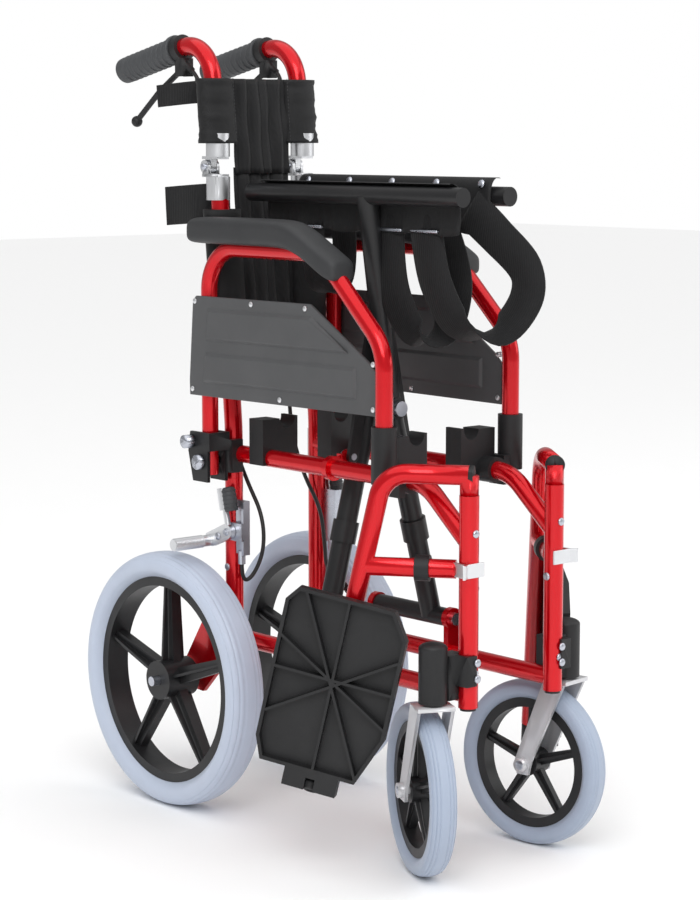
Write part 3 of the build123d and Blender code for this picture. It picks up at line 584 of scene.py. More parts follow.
# ---------------------------------------------------------------- geometry node tools
class GeometryTree:
    """A geometry node tree with named inputs, used once and made a plain mesh."""

    def __init__(self, name: str, inputs: dict[str, tuple[str, float]]) -> None:
        """Starts the tree.

        Args:
            name: The tree's name.
            inputs: Input names with their socket types and defaults.
        """
        self.tree = bpy.data.node_groups.new(name, "GeometryNodeTree")
        face = self.tree.interface
        face.new_socket("Geometry", in_out="INPUT", socket_type="NodeSocketGeometry")
        for key, (kind, value) in inputs.items():
            face.new_socket(key, in_out="INPUT", socket_type=kind).default_value = value
        face.new_socket("Surface", in_out="INPUT", socket_type="NodeSocketMaterial")
        face.new_socket("Geometry", in_out="OUTPUT", socket_type="NodeSocketGeometry")
        self.sheet = ShaderSheet(self.tree)
        self.given = self.sheet.add("NodeGroupInput")
        self.out = self.sheet.add("NodeGroupOutput")

    def end(self, instances: bpy.types.NodeSocket) -> None:
        """Closes the tree with Realize Instances and Set Material."""
        real = self.sheet.add("GeometryNodeRealizeInstances")
        paint = self.sheet.add("GeometryNodeSetMaterial")
        self.sheet.join(instances, real.inputs[0])
        self.sheet.join(real.outputs[0], paint.inputs["Geometry"])
        self.sheet.join(self.given.outputs["Surface"], paint.inputs["Material"])
        self.sheet.join(paint.outputs[0], self.out.inputs[0])

    def grow(self, name: str, seed: bpy.types.Mesh, finish: Finish, **sizes: float) -> bpy.types.Object:
        """Runs the tree on a seed mesh.

        Args:
            name: The new object's name.
            seed: The mesh that the tree starts from.
            finish: The finish of what it makes.
            sizes: Values for the named inputs, with underscores for spaces.

        Returns:
            A plain mesh object.
        """
        piece = bpy.data.objects.new(name, seed)
        bpy.context.scene.collection.objects.link(piece)
        modifier = piece.modifiers.new("grown", "NODES")
        modifier.node_group = self.tree
        keys = {s.name: s.identifier for s in self.tree.interface.items_tree if s.in_out == "INPUT"}
        for key, value in sizes.items():
            modifier[keys[key.replace("_", " ")]] = value
        modifier[keys["Surface"]] = finish.material()
        settled(piece)
        if not piece.data.materials:
            piece.data.materials.append(finish.material())
        LOG.info("grew %s with %d faces", name, len(piece.data.polygons))
        return piece


def fastener_tree() -> GeometryTree:
    """Domed heads, one on each seed point, facing along the point's "facing" vector."""
    made = GeometryTree("fastener_heads", {
        "Radius": ("NodeSocketFloat", 0.004), "Height": ("NodeSocketFloat", 0.4),
    })
    sheet = made.sheet
    ball = sheet.add("GeometryNodeMeshUVSphere")
    ball.inputs["Segments"].default_value = 20
    ball.inputs["Rings"].default_value = 10
    flat = sheet.add("ShaderNodeCombineXYZ")
    flat.inputs[0].default_value = 1.0
    flat.inputs[1].default_value = 1.0
    shrink = sheet.add("GeometryNodeTransform")
    facing = sheet.add("GeometryNodeInputNamedAttribute", data_type="FLOAT_VECTOR")
    facing.inputs["Name"].default_value = "facing"
    turn = sheet.add("FunctionNodeAlignRotationToVector", axis="Z")
    place = sheet.add("GeometryNodeInstanceOnPoints")
    sheet.join(made.given.outputs["Radius"], ball.inputs["Radius"])
    sheet.join(made.given.outputs["Height"], flat.inputs[2])
    sheet.join(ball.outputs["Mesh"], shrink.inputs["Geometry"])
    sheet.join(flat.outputs[0], shrink.inputs["Scale"])
    sheet.join(facing.outputs["Attribute"], turn.inputs["Vector"])
    sheet.join(made.given.outputs["Geometry"], place.inputs["Points"])
    sheet.join(shrink.outputs[0], place.inputs["Instance"])
    sheet.join(turn.outputs[0], place.inputs["Rotation"])
    made.end(place.outputs["Instances"])
    return made


def rib_tree() -> GeometryTree:
    """Thin rings round a line, for ribs on a grip."""
    made = GeometryTree("ribs_on_line", {
        "Count": ("NodeSocketInt", 12), "Radius": ("NodeSocketFloat", 0.016),
        "Bead": ("NodeSocketFloat", 0.0012),
    })
    sheet = made.sheet
    line = sheet.add("GeometryNodeMeshToCurve")
    dots = sheet.add("GeometryNodeCurveToPoints", mode="COUNT")
    ring = sheet.add("GeometryNodeCurvePrimitiveCircle")
    bead = sheet.add("GeometryNodeCurvePrimitiveCircle")
    ring.inputs["Resolution"].default_value = 40
    bead.inputs["Resolution"].default_value = 8
    skin = sheet.add("GeometryNodeCurveToMesh")
    place = sheet.add("GeometryNodeInstanceOnPoints")
    sheet.join(made.given.outputs["Geometry"], line.inputs["Mesh"])
    sheet.join(line.outputs["Curve"], dots.inputs["Curve"])
    sheet.join(made.given.outputs["Count"], dots.inputs["Count"])
    sheet.join(made.given.outputs["Radius"], ring.inputs["Radius"])
    sheet.join(made.given.outputs["Bead"], bead.inputs["Radius"])
    sheet.join(ring.outputs["Curve"], skin.inputs["Curve"])
    sheet.join(bead.outputs["Curve"], skin.inputs["Profile Curve"])
    sheet.join(dots.outputs["Points"], place.inputs["Points"])
    sheet.join(skin.outputs["Mesh"], place.inputs["Instance"])
    sheet.join(dots.outputs["Rotation"], place.inputs["Rotation"])
    made.end(place.outputs["Instances"])
    return made


def stitch_tree() -> GeometryTree:
    """Short thread stitches along the seed's edges."""
    made = GeometryTree("thread_stitches", {
        "Pitch": ("NodeSocketFloat", 0.005), "Thread": ("NodeSocketFloat", 0.0005),
    })
    sheet = made.sheet
    line = sheet.add("GeometryNodeMeshToCurve")
    dots = sheet.add("GeometryNodeCurveToPoints", mode="LENGTH")
    bead = sheet.add("GeometryNodeMeshIcoSphere")
    bead.inputs["Subdivisions"].default_value = 1
    long = sheet.add("GeometryNodeTransform")
    long.inputs["Scale"].default_value = (1.0, 1.0, 3.2)
    place = sheet.add("GeometryNodeInstanceOnPoints")
    sheet.join(made.given.outputs["Geometry"], line.inputs["Mesh"])
    sheet.join(line.outputs["Curve"], dots.inputs["Curve"])
    sheet.join(made.given.outputs["Pitch"], dots.inputs["Length"])
    sheet.join(made.given.outputs["Thread"], bead.inputs["Radius"])
    sheet.join(bead.outputs["Mesh"], long.inputs["Geometry"])
    sheet.join(dots.outputs["Points"], place.inputs["Points"])
    sheet.join(long.outputs[0], place.inputs["Instance"])
    sheet.join(dots.outputs["Rotation"], place.inputs["Rotation"])
    made.end(place.outputs["Instances"])
    return made


def seed_points(places: Sequence[tuple[Point, Point]], side: Side) -> bpy.types.Mesh:
    """A mesh of loose points that say which way they face.

    Args:
        places: Pairs of a point and its facing direction, for the left side.
        side: The side that they are for.

    Returns:
        The mesh.
    """
    flip = side.sign
    data = bpy.data.meshes.new("seed_points")
    data.from_pydata([(p[0] * flip, p[1], p[2]) for p, _ in places], [], [])
    facing = data.attributes.new("facing", "FLOAT_VECTOR", "POINT")
    facing.data.foreach_set("vector", [c for _, f in places for c in (f[0] * flip, f[1], f[2])])
    return data


def seed_line(lines: Sequence[Sequence[Point]], side: Side) -> bpy.types.Mesh:
    """A mesh of loose edges along lines.

    Args:
        lines: The lines' points, for the left side.
        side: The side that they are for.

    Returns:
        The mesh.
    """
    points: list[tuple[float, float, float]] = []
    edges: list[tuple[int, int]] = []
    for line in lines:
        start = len(points)
        points += [(p[0] * side.sign, p[1], p[2]) for p in line]
        edges += [(start + i, start + i + 1) for i in range(len(line) - 1)]
    data = bpy.data.meshes.new("seed_line")
    data.from_pydata(points, edges, [])
    return data


@dataclass(frozen=True)
class GrowTools:
    """The geometry node trees that the sub-assemblies share.

    Attributes:
        fasteners: Domed heads at points.
        ribs: Rings along a line.
        stitches: Thread along a line.
    """

    fasteners: GeometryTree = field(default_factory=fastener_tree)
    ribs: GeometryTree = field(default_factory=rib_tree)
    stitches: GeometryTree = field(default_factory=stitch_tree)


GROW = GrowTools()


# ---------------------------------------------------------------- studio
@dataclass
class Studio:
    """Camera, soft lights and a pale floor.

    Attributes:
        place: The camera's place.
        heading: Its turn about Z in degrees.
        pitch: How far it looks down in degrees.
        lens: Focal length in millimetres on a 36 mm sensor height.
        surround: Strength of the light from all round.
    """

    place: Point = (-1.874, -2.1935, 0.825)
    heading: float = -40.81
    pitch: float = 7.43
    lens: float = 97.15
    surround: float = 0.42

    def build(self) -> None:
        """Builds the camera, floor, world and lights."""
        camera = bpy.data.objects.new("studio_camera", bpy.data.cameras.new("studio_camera"))
        bpy.context.scene.collection.objects.link(camera)
        camera.location = self.place
        camera.rotation_euler = (radians(90 - self.pitch), 0.0, radians(self.heading))
        camera.data.sensor_fit = "VERTICAL"
        camera.data.sensor_height = 36.0
        camera.data.lens = self.lens
        bpy.context.scene.camera = camera
        bpy.context.scene.view_settings.view_transform = "Standard"
        self._floor()
        self._world()
        self._lamp("key_panel", (-2.2, -2.6, 2.9), (0.0, 0.0, 0.45), 2.4, 60.0)
        self._lamp("fill_panel", (2.8, -1.8, 1.9), (0.0, 0.0, 0.45), 2.4, 26.0)
        self._ceiling()

    def _floor(self) -> None:
        """A wide pale floor under the wheels."""
        draft = Draft()
        draft.mesh.faces.new([draft.mesh.verts.new(p) for p in (
            (-14, -14, 0), (14, -14, 0), (14, 14, 0), (-14, 14, 0))])
        white = (0.985, 0.985, 0.985)
        paper = Finish("studio_floor", "studio", white, (0.97, 0.97, 0.97), 0.05, (0.7, 0.8), bump=0.0)
        floor = draft.finish("studio_floor", paper)

    def _world(self) -> None:
        """An even pale surround."""
        world = bpy.data.worlds.new("studio_world")
        world.use_nodes = True
        sheet = ShaderSheet(world.node_tree)
        back = world.node_tree.nodes["Background"]
        path = sheet.add("ShaderNodeLightPath")
        level = sheet.add("ShaderNodeMapRange")
        level.inputs["To Min"].default_value = self.surround
        level.inputs["To Max"].default_value = 1.0
        sheet.join(path.outputs["Is Camera Ray"], level.inputs["Value"])
        sheet.join(level.outputs["Result"], back.inputs["Strength"])
        back.inputs["Color"].default_value = (1.0, 1.0, 1.0, 1.0)
        bpy.context.scene.world = world

    def _ceiling(self) -> None:
        """A broad, even light from overhead that keeps the floor pale to its edge."""
        ceiling = bpy.data.objects.new("ceiling_light", bpy.data.lights.new("ceiling_light", "SUN"))
        ceiling.data.energy = 1.75
        ceiling.data.angle = radians(100)
        ceiling.rotation_euler = (radians(12), radians(-10), 0.0)
        bpy.context.scene.collection.objects.link(ceiling)

    def _lamp(self, name: str, place: Point, target: Point, size: float, power: float) -> None:
        """A square area light.

        Args:
            name: The light's name.
            place: Where it hangs.
            target: What it points at.
            size: Its edge.
            power: Its power in watts.
        """
        lamp = bpy.data.objects.new(name, bpy.data.lights.new(name, "AREA"))
        lamp.data.size = size
        lamp.data.energy = power
        lamp.location = place
        lamp.rotation_euler = (Vector(place) - Vector(target)).to_track_quat("Z", "Y").to_euler()
        bpy.context.scene.collection.objects.link(lamp)


# ---------------------------------------------------------------- nodes of several solids
@dataclass
class SolidDresser:
    """Dresses a CAD node of several solids, giving each solid its own finish.

    Attributes:
        sharp_angle: Edges sharper than this stay hard, in degrees.
    """

    sharp_angle: float = 32.0

    def build(self, node: str, body: str, main: Finish, rest: Finish, keep: int = 1) -> bpy.types.Object:
        """Makes the dressed copy.

        Args:
            node: The CAD node.
            body: The body that it rides on.
            main: The finish of the largest solids.
            rest: The finish of the others.
            keep: How many of the largest solids take the main finish.

        Returns:
            The piece that stands for the node.
        """
        mesh = bmesh.new()
        mesh.from_mesh(frame["nodes"][node].data)
        bmesh.ops.remove_doubles(mesh, verts=mesh.verts, dist=1e-6)
        islands = sorted(self._islands(mesh), key=self._spread, reverse=True)
        for number, island in enumerate(islands):
            for face in island:
                face.material_index = 0 if number < keep else 1
                face.smooth = True
        data = bpy.data.meshes.new(f"{node}_dressed")
        mesh.to_mesh(data)
        mesh.free()
        data.materials.append(main.material())
        data.materials.append(rest.material())
        data.set_sharp_from_angle(angle=radians(self.sharp_angle))
        piece = bpy.data.objects.new(f"{node}_dressed", data)
        bpy.context.scene.collection.objects.link(piece)
        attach(piece, body)
        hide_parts(node)
        LOG.info("dressed %s as %d solids", node, len(islands))
        return piece

    @staticmethod
    def _islands(mesh: bmesh.types.BMesh) -> list[list[bmesh.types.BMFace]]:
        """Groups of faces that hang together.

        Args:
            mesh: The mesh to part.

        Returns:
            One list of faces for each group.
        """
        left = set(mesh.faces)
        groups = []
        while left:
            stack = [left.pop()]
            group = []
            while stack:
                face = stack.pop()
                group.append(face)
                for edge in face.edges:
                    for other in edge.link_faces:
                        if other in left:
                            left.remove(other)
                            stack.append(other)
            groups.append(group)
        return groups

    @staticmethod
    def _spread(group: list[bmesh.types.BMFace]) -> float:
        """The diagonal of a group's box."""
        points = [v.co for face in group for v in face.verts]
        low = Vector([min(p[i] for p in points) for i in range(3)])
        high = Vector([max(p[i] for p in points) for i in range(3)])
        return (high - low).length


# ---------------------------------------------------------------- wheels
@dataclass
class Tyres:
    """Solid grey tyres, fuller than their rims, with fine moulded lines round the tread.

    Attributes:
        steps: Steps round the wheel.
        groove: Depth of a moulded line.
        lines: Places of the lines across the tread, as shares of half the width.
    """

    steps: int = 128
    groove: float = 0.0009
    lines: tuple[float, ...] = (-0.86, -0.62, -0.36, 0.36, 0.62, 0.86)

    def build(self, side: Side, kind: str, joint: str, body: str, width: float, height: float,
              finish: Finish) -> None:
        """Builds one tyre in its wheel's own plane.

        Args:
            side: The chair's side.
            kind: The CAD node's piece name.
            joint: The wheel's spin joint.
            body: The wheel's body.
            width: The tyre's width.
            height: The tyre's section height.
            finish: Its finish.
        """
        centre = joint_place(side.node(joint))
        axis = joint_axis(side.node(joint))
        low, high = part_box(side.node(kind))
        radius = (high.z - low.z) / 2
        draft = Draft()
        draft.turned(self._profile(radius, width, height), centre, axis, self.steps)
        tyre = draft.finish(side.node(f"{kind}_moulded"), finish)
        tyre.data.set_sharp_from_angle(angle=radians(50))
        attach(tyre, side.node(body))
        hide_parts(side.node(kind))

    def _profile(self, radius: float, width: float, height: float) -> list[tuple[float, float]]:
        """The tyre's section.

        Args:
            radius: The tyre's outer radius.
            width: Its width.
            height: Its section height.

        Returns:
            Points as distance along the axle and radius.
        """
        half, middle = width / 2, radius - height / 2
        seat = 0.31 * width
        profile = []
        for i in range(61):
            turn = radians(-128 + 256 * i / 60)
            along = half * abs(sin(turn)) ** 0.82 * (1 if turn > 0 else -1)
            out = middle + height / 2 * abs(cos(turn)) ** 0.8 * (1 if cos(turn) > 0 else -1)
            if cos(turn) > 0 and any(abs(along / half - at) < 0.028 for at in self.lines):
                out -= self.groove
            profile.append((along, max(out, radius - height)))
        return profile + [(seat, radius - height + 0.0003), (-seat, radius - height + 0.0003)]


@dataclass
class WheelTrim:
    """Raised webs on the spokes."""

    spokes: int = 5

    def build(self, side: Side, joint: str, body: str, radius: float, hub: float, face: float) -> None:
        """Builds the webs on both faces of one wheel.

        Args:
            side: The chair's side.
            joint: The wheel's spin joint.
            body: The wheel's body.
            radius: Where the webs end.
            hub: Where they start.
            face: Half the hub's width.
        """
        centre = joint_place(side.node(joint))
        axis = joint_axis(side.node(joint))
        up = Vector((0, 0, 1))
        draft = Draft()
        for number in range(self.spokes):
            turn = radians(360 * number / self.spokes + 18)
            # the spokes start from +Y and turn about +X, as the rims do
            level = Vector((0, 0, 1)).cross(axis).normalized()
            spoke = level * cos(turn) + up * sin(turn)
            across = axis.cross(spoke) * 0.0016
            for way in (-1, 1):
                base = centre + axis * way * face * 0.35
                rise = axis * way * face * 0.37
                low = base + spoke * (hub * 0.85)
                far = base + spoke * radius
                draft.rings([
                    [low - across, low + across, low + across + rise, low - across + rise],
                    [far - across, far + across, far + across + rise * 0.35, far - across + rise * 0.35],
                ])
        webs = draft.finish(side.node(f"{joint}_webs"), RIM, smooth=False)
        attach(webs, side.node(body))


# ---------------------------------------------------------------- handles
@dataclass
class HandGrip:
    """A ribbed vinyl grip on the push handle.

    Attributes:
        drop: How far below level it points, in degrees.
        length: Its length without the end dome.
        radius: Its radius between ribs.
        flange: The radius of its collar.
        gap: Brake lever pivot ahead of the grip.
        below: Brake lever pivot below the grip's axis.
    """

    drop: float = 12.0
    length: float = 0.112
    radius: float = 0.0150
    flange: float = 0.0185
    gap: float = 0.007
    below: float = 0.026

    def build(self, side: Side) -> None:
        """Builds the grip and its ribs.

        Args:
            side: The chair's side.
        """
        pivot = joint_place("left_brake_lever_pull")
        axis = Vector((0, cos(radians(self.drop)), -sin(radians(self.drop))))
        start = pivot + Vector((0, 0, self.below)) + axis * self.gap
        end = self.length
        profile = [
            (0.0, 0.0112), (0.0, self.flange - 0.001), (0.001, self.flange), (0.005, self.flange),
            (0.0065, self.radius + 0.0006), (0.02, self.radius), (end * 0.5, self.radius + 0.0007),
            (end - 0.012, self.radius + 0.0002), (end - 0.006, self.radius + 0.0011),
            (end, self.radius + 0.0008), (end + 0.0028, self.radius - 0.0022),
            (end + 0.0043, self.radius - 0.0075), (end + 0.0048, 0.0008),
            (end + 0.0004, 0.0006), (end - 0.0006, 0.0112),
        ]
        draft = Draft()
        draft.turned(profile, start, axis, 56)
        grip = draft.finish(side.node("hand_grip_vinyl"), GRIP, side)
        grip.data.set_sharp_from_angle(angle=radians(40))
        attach(grip, side.node("back_upper"))
        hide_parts(side.node("hand_grip"))
        line = [start + axis * 0.016, start + axis * (end - 0.014)]
        ribs = GROW.ribs.grow(side.node("hand_grip_ribs"), seed_line([line], side), GRIP,
                              Count=9, Radius=self.radius - 0.0012, Bead=0.0026)
        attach(ribs, side.node("back_upper"))


# ---------------------------------------------------------------- back
@dataclass
class BackRest:
    """The folded back sheet: sleeves round the tubes, pleats between them and stitching on the sleeves.

    Attributes:
        lean: The back's lean in degrees.
        bend_z: The height where the lean starts.
        rear_y: The rear tube's place below the bend.
        tube_x: The tube's distance from the middle plane.
        sleeve: The sleeve's half sizes round the tube.
        pleats: Folds in each half of the panel.
        pleat_depth: How far a fold stands out.
        cloth: Cloth thickness.
        upper_z: Ends of the sleeve above the hinge.
        lower_z: Ends of the sleeve below the hinge.
        panel_upper_z: Ends of the panel above the hinge.
        panel_lower_z: Ends of the panel below the hinge.
        overlap: How far the upper panel lies ahead of the lower one.
    """

    lean: float = 5.0
    bend_z: float = 0.470
    rear_y: float = 0.1165
    tube_x: float = 0.066
    sleeve: tuple[float, float] = (0.0250, 0.0160)
    pleats: int = 2
    pleat_depth: float = 0.0038
    cloth: float = 0.0022
    upper_z: tuple[float, float] = (0.8130, 0.8905)
    lower_z: tuple[float, float] = (0.560, 0.7340)
    panel_upper_z: tuple[float, float] = (0.7765, 0.8905)
    panel_lower_z: tuple[float, float] = (0.560, 0.7840)
    overlap: float = 0.0042

    def back_y(self, z: float) -> float:
        """The tube's Y at a height."""
        return self.rear_y + max(0.0, z - self.bend_z) * tan(radians(self.lean))

    def build(self, side: Side) -> None:
        """Builds the sheet's half on one side.

        Args:
            side: The chair's side.
        """
        upper = self._sleeve(side, "upper_sleeve", self.upper_z)
        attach(upper, side.node("back_upper"))
        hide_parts(side.node("back_sleeve"))
        lower = self._sleeve(side, "lower_sleeve", self.lower_z)
        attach(lower, side.node("frame"))
        self._panel(side, "upper", self.panel_upper_z)
        self._panel(side, "lower", self.panel_lower_z)
        self._stitching(side)

    def _sleeve(self, side: Side, name: str, z: tuple[float, float]) -> bpy.types.Object:
        """A cloth tube round the back tube, with a few soft creases.

        Args:
            side: The chair's side.
            name: The piece's name.
            z: Its lower and upper ends.

        Returns:
            The sleeve.
        """
        draft = Draft()
        rows, count = 22, 48
        outer, inner = [], []
        for row in range(rows + 1):
            share = row / rows
            at = z[0] + (z[1] - z[0]) * share
            crease = 0.0011 * sin(share * 19.0) + 0.0006 * sin(share * 47.0 + 1.3)
            hem = 0.0012 if row in (0, 1, rows - 1, rows) else 0.0
            for rings, grow in ((outer, 0.0), (inner, -self.cloth)):
                ring = []
                for i in range(count):
                    turn = 2 * pi * i / count
                    swell = grow + crease * (0.5 + 0.5 * cos(turn * 2 + share * 4)) + hem * (grow == 0.0)
                    x = self.tube_x - 0.002 + (self.sleeve[0] + swell) * cos(turn)
                    ring.append(Vector((x, self.back_y(at) + (self.sleeve[1] + swell) * sin(turn), at)))
                rings.append(ring)
        draft.rings(outer + list(reversed(inner)), closed=True)
        return draft.finish(side.node(name), NYLON, side)

    def _fold_y(self, share: float) -> float:
        """How far the cloth stands back from the tube's plane.

        Args:
            share: From 0 at the sleeve to 1 at the middle.

        Returns:
            The offset in Y.
        """
        wave = sin(share * self.pleats * 2 * pi)
        return self.pleat_depth * wave * min(1.0, 4 * share, 3.2 * (1.08 - share))

    def _panel(self, side: Side, name: str, z: tuple[float, float]) -> None:
        """Half of the pleated panel, from the sleeve to the middle seam.

        Args:
            side: The chair's side.
            name: Which half of the back.
            z: Its lower and upper ends.
        """
        edge, seam = self.tube_x - self.sleeve[0] + 0.001, 0.0006
        columns, rows = 48, 16
        draft = Draft()
        rings = []
        for row in range(rows + 1):
            at = z[0] + (z[1] - z[0]) * row / rows
            line = []
            for i in range(columns + 1):
                share = i / columns
                sag = 0.0012 * sin(3 * pi * row / rows + 5 * share) - self.overlap * (name == "upper")
                y = self.back_y(at) + self._fold_y(share) + sag
                line.append(Vector((edge + (seam - edge) * share, y, at)))
            ring = []
            for way in (1, -1):
                run = range(columns + 1) if way == 1 else range(columns, -1, -1)
                for i in run:
                    ahead = line[min(i + 1, columns)] - line[max(i - 1, 0)]
                    out = Vector((-ahead.y, ahead.x, 0)).normalized() * self.cloth / 2 * way
                    ring.append(line[i] + out)
            rings.append(ring)
        draft.rings(rings)
        panel = draft.finish(side.node(f"back_pleats_{name}"), NYLON, side)
        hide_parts(side.node(f"back_panel_{name}"))
        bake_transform(panel)

    def _stitching(self, side: Side) -> None:
        """Two rows of thread down the upper sleeve's inboard edge.

        Args:
            side: The chair's side.
        """
        low, high = self.upper_z
        lines = []
        for turn in (pi * 1.18, pi * 0.82):
            a, b = self.sleeve[0] + 0.0009, self.sleeve[1] + 0.0009
            x = self.tube_x - 0.002 + a * cos(turn)
            lines.append([
                (x, self.back_y(low + (high - low) * k / 8) + b * sin(turn), low + (high - low) * k / 8)
                for k in range(9)
            ])
        thread = GROW.stitches.grow(side.node("sleeve_stitches"), seed_line(lines, side), THREAD,
                                    Pitch=0.0042, Thread=0.0005)
        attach(thread, side.node("back_upper"))


@dataclass
class StrapEnds:
    """Loose webbing ends behind the near back tube.

    Attributes:
        thick: The webbing's thickness.
    """

    thick: float = 0.0020

    def build(self, back: BackRest) -> None:
        """Builds both ends on the right-hand side.

        Args:
            back: The back that they are sewn to.
        """
        side = Side.RIGHT
        for name, z, reach, high, body in (
            ("strap_end_upper", 0.876, 0.082, 0.0135, "back_upper"),
            ("strap_end_lower", 0.742, 0.078, 0.0235, "frame"),
        ):
            y = back.back_y(z)
            x = back.tube_x
            line = smooth_line([
                (x - 0.018, y + 0.004, z), (x - 0.008, y + 0.018, z - 0.0005),
                (x + 0.007, y + 0.036, z - 0.002), (x + 0.012, y + reach, z - 0.005),
                (x + 0.014, y + reach + 0.012, z - 0.006),
            ], 8)
            half = [Vector((0, 0.0015, high)) for _ in line]
            draft = Draft()
            draft.ribbon(line, half, self.thick)
            strap = draft.finish(side.node(name), WEBBING, side)
            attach(strap, side.node(body))


# ---------------------------------------------------------------- seat
@dataclass
class SeatSling:
    """Cloth flaps along the seat rails and webbing loops that hang between them.

    Attributes:
        rail: The rail's distance from the middle plane and its height.
        rail_r: The rail's radius.
        y: Front and rear ends of the cloth.
        drop_z: The flaps' lower edge.
        cloth: Cloth thickness.
        screws: Places of the screws along the left rail.
        screw_z: The screws' height.
        lift: How far the clamped cloth stands above the left rail.
        slide_r: Wire radius of the bright strap slides.
    """

    rail: tuple[float, float] = (0.036, 0.755)
    rail_r: float = 0.011
    y: tuple[float, float] = (-0.2355, 0.0995)
    drop_z: float = 0.713
    cloth: float = 0.0022
    screws: tuple[float, ...] = (-0.222, -0.148, -0.072, 0.004, 0.080)
    screw_z: float = 0.7690
    lift: float = 0.0095
    slide_r: float = 0.0022

    def build(self) -> None:
        """Builds the flaps, screws, loops and slides."""
        for side, body in ((Side.LEFT, "right_cross"), (Side.RIGHT, "left_cross")):
            flap = self._flap(side)
            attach(flap, body)
        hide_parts("seat_sling")
        inboard = self.rail[0] - self.rail_r - 0.0030
        heads = [((inboard, y, self.screw_z), (-0.94, 0.0, 0.34)) for y in self.screws]
        screws = GROW.fasteners.grow("seat_cloth_screws", seed_points(heads, Side.LEFT), ZINC,
                                     Radius=0.0050, Height=0.45)
        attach(screws, "right_cross")
        self._loops()

    def _flap(self, side: Side) -> bpy.types.Object:
        """The cloth over one rail and down its inboard side.

        Args:
            side: The rail's side.

        Returns:
            The flap.
        """
        x, z = self.rail
        r = self.rail_r + 0.0006
        lift = self.lift if side is Side.LEFT else self.lift * 0.35
        section = [
            (x + r * cos(radians(a)), z + lift * max(0.0, sin(radians(a))) ** 0.5 + r * sin(radians(a)))
            for a in range(70, 181, 10)
        ] + [(x - r - 0.0006, z - 0.012), (x - r - 0.0014, z - 0.022), (x - r - 0.0008, z - 0.033),
             (x - r + 0.0006, self.drop_z)]
        rows = 60
        rings = []
        for row in range(rows + 1):
            y = self.y[0] + (self.y[1] - self.y[0]) * row / rows
            outer, inner = [], []
            for i, (px, pz) in enumerate(section):
                hang = max(0.0, (i - 11) / 4)
                ripple = hang * (0.0030 * sin(row * 0.55) + 0.0012 * sin(row * 1.7 + 0.6))
                outer.append(Vector((px + ripple - self.cloth, y, pz - 0.002 * hang * sin(row * 0.41))))
                inner.append(Vector((px + ripple, y, pz - 0.002 * hang * sin(row * 0.41))))
            rings.append(outer + list(reversed(inner)))
        draft = Draft()
        draft.rings(rings)
        flap = draft.finish(side.node("seat_flap"), NYLON, side)
        return flap

    def _loops(self) -> None:
        """Three webbing loops, each from the right rail down and up to the left rail."""
        routes = {
            "seat_loop_front": ([
                (-0.020, -0.176, 0.742), (-0.0220, -0.182, 0.705), (-0.0205, -0.196, 0.655),
                (-0.010, -0.222, 0.612), (0.012, -0.262, 0.606), (0.027, -0.288, 0.640),
                (0.0275, -0.288, 0.676), (0.022, -0.248, 0.712), (0.020, -0.205, 0.742),
            ], 0.0235),
            "seat_loop_middle": ([
                (-0.020, -0.116, 0.742), (-0.0225, -0.118, 0.690), (-0.021, -0.128, 0.640),
                (-0.009, -0.150, 0.597), (0.010, -0.176, 0.603), (0.0205, -0.184, 0.650),
                (0.0215, -0.168, 0.700), (0.020, -0.140, 0.742),
            ], 0.0235),
            "seat_loop_rear": ([
                (-0.020, 0.020, 0.742), (-0.0215, 0.020, 0.700), (-0.016, 0.018, 0.655),
                (0.000, 0.014, 0.638), (0.016, 0.010, 0.655), (0.0215, 0.012, 0.700),
                (0.020, 0.020, 0.742),
            ], 0.019),
        }
        for name, (route, half) in routes.items():
            line = smooth_line(route, 8)
            draft = Draft()
            draft.ribbon(line, self._widths(line, half), 0.0024)
            loop = draft.finish(name, WEBBING)
            self._slide(name, line[0], half)
            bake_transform(loop)

    def _slide(self, name: str, top: Vector, half: float) -> None:
        """The bright wire slide at the top of a loop's right-hand end.

        Args:
            name: The loop's name.
            top: Where the loop starts.
            half: Half the webbing's width.
        """
        y0, y1 = top.y - half - 0.002, top.y + half + 0.002
        r = self.slide_r
        profile = [(0.0, 0.0004), (0.0, r * 0.7), (r * 0.5, r), (y1 - y0 - r * 0.5, r), (y1 - y0, r * 0.7),
                   (y1 - y0, 0.0004)]
        draft = Draft()
        draft.turned(profile, Vector((-0.0245, y0, top.z - 0.026)), Vector((0, 1, 0)), 16)
        slide = draft.finish(f"{name}_slide", ZINC)
        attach(slide, "left_cross")

    @staticmethod
    def _widths(line: Sequence[Vector], half: float) -> list[Vector]:
        """Half the width of a loop's webbing at each point.

        Args:
            line: The loop's middle line.
            half: Half the webbing's width.

        Returns:
            Vectors across the line, which stay as level as the line allows.
        """
        widths = []
        for i in range(len(line)):
            ahead = (line[min(i + 1, len(line) - 1)] - line[max(i - 1, 0)]).normalized()
            across = Vector((-0.10, 1.0, 0.0))
            across -= ahead * across.dot(ahead)
            widths.append(across.normalized() * half)
        return widths


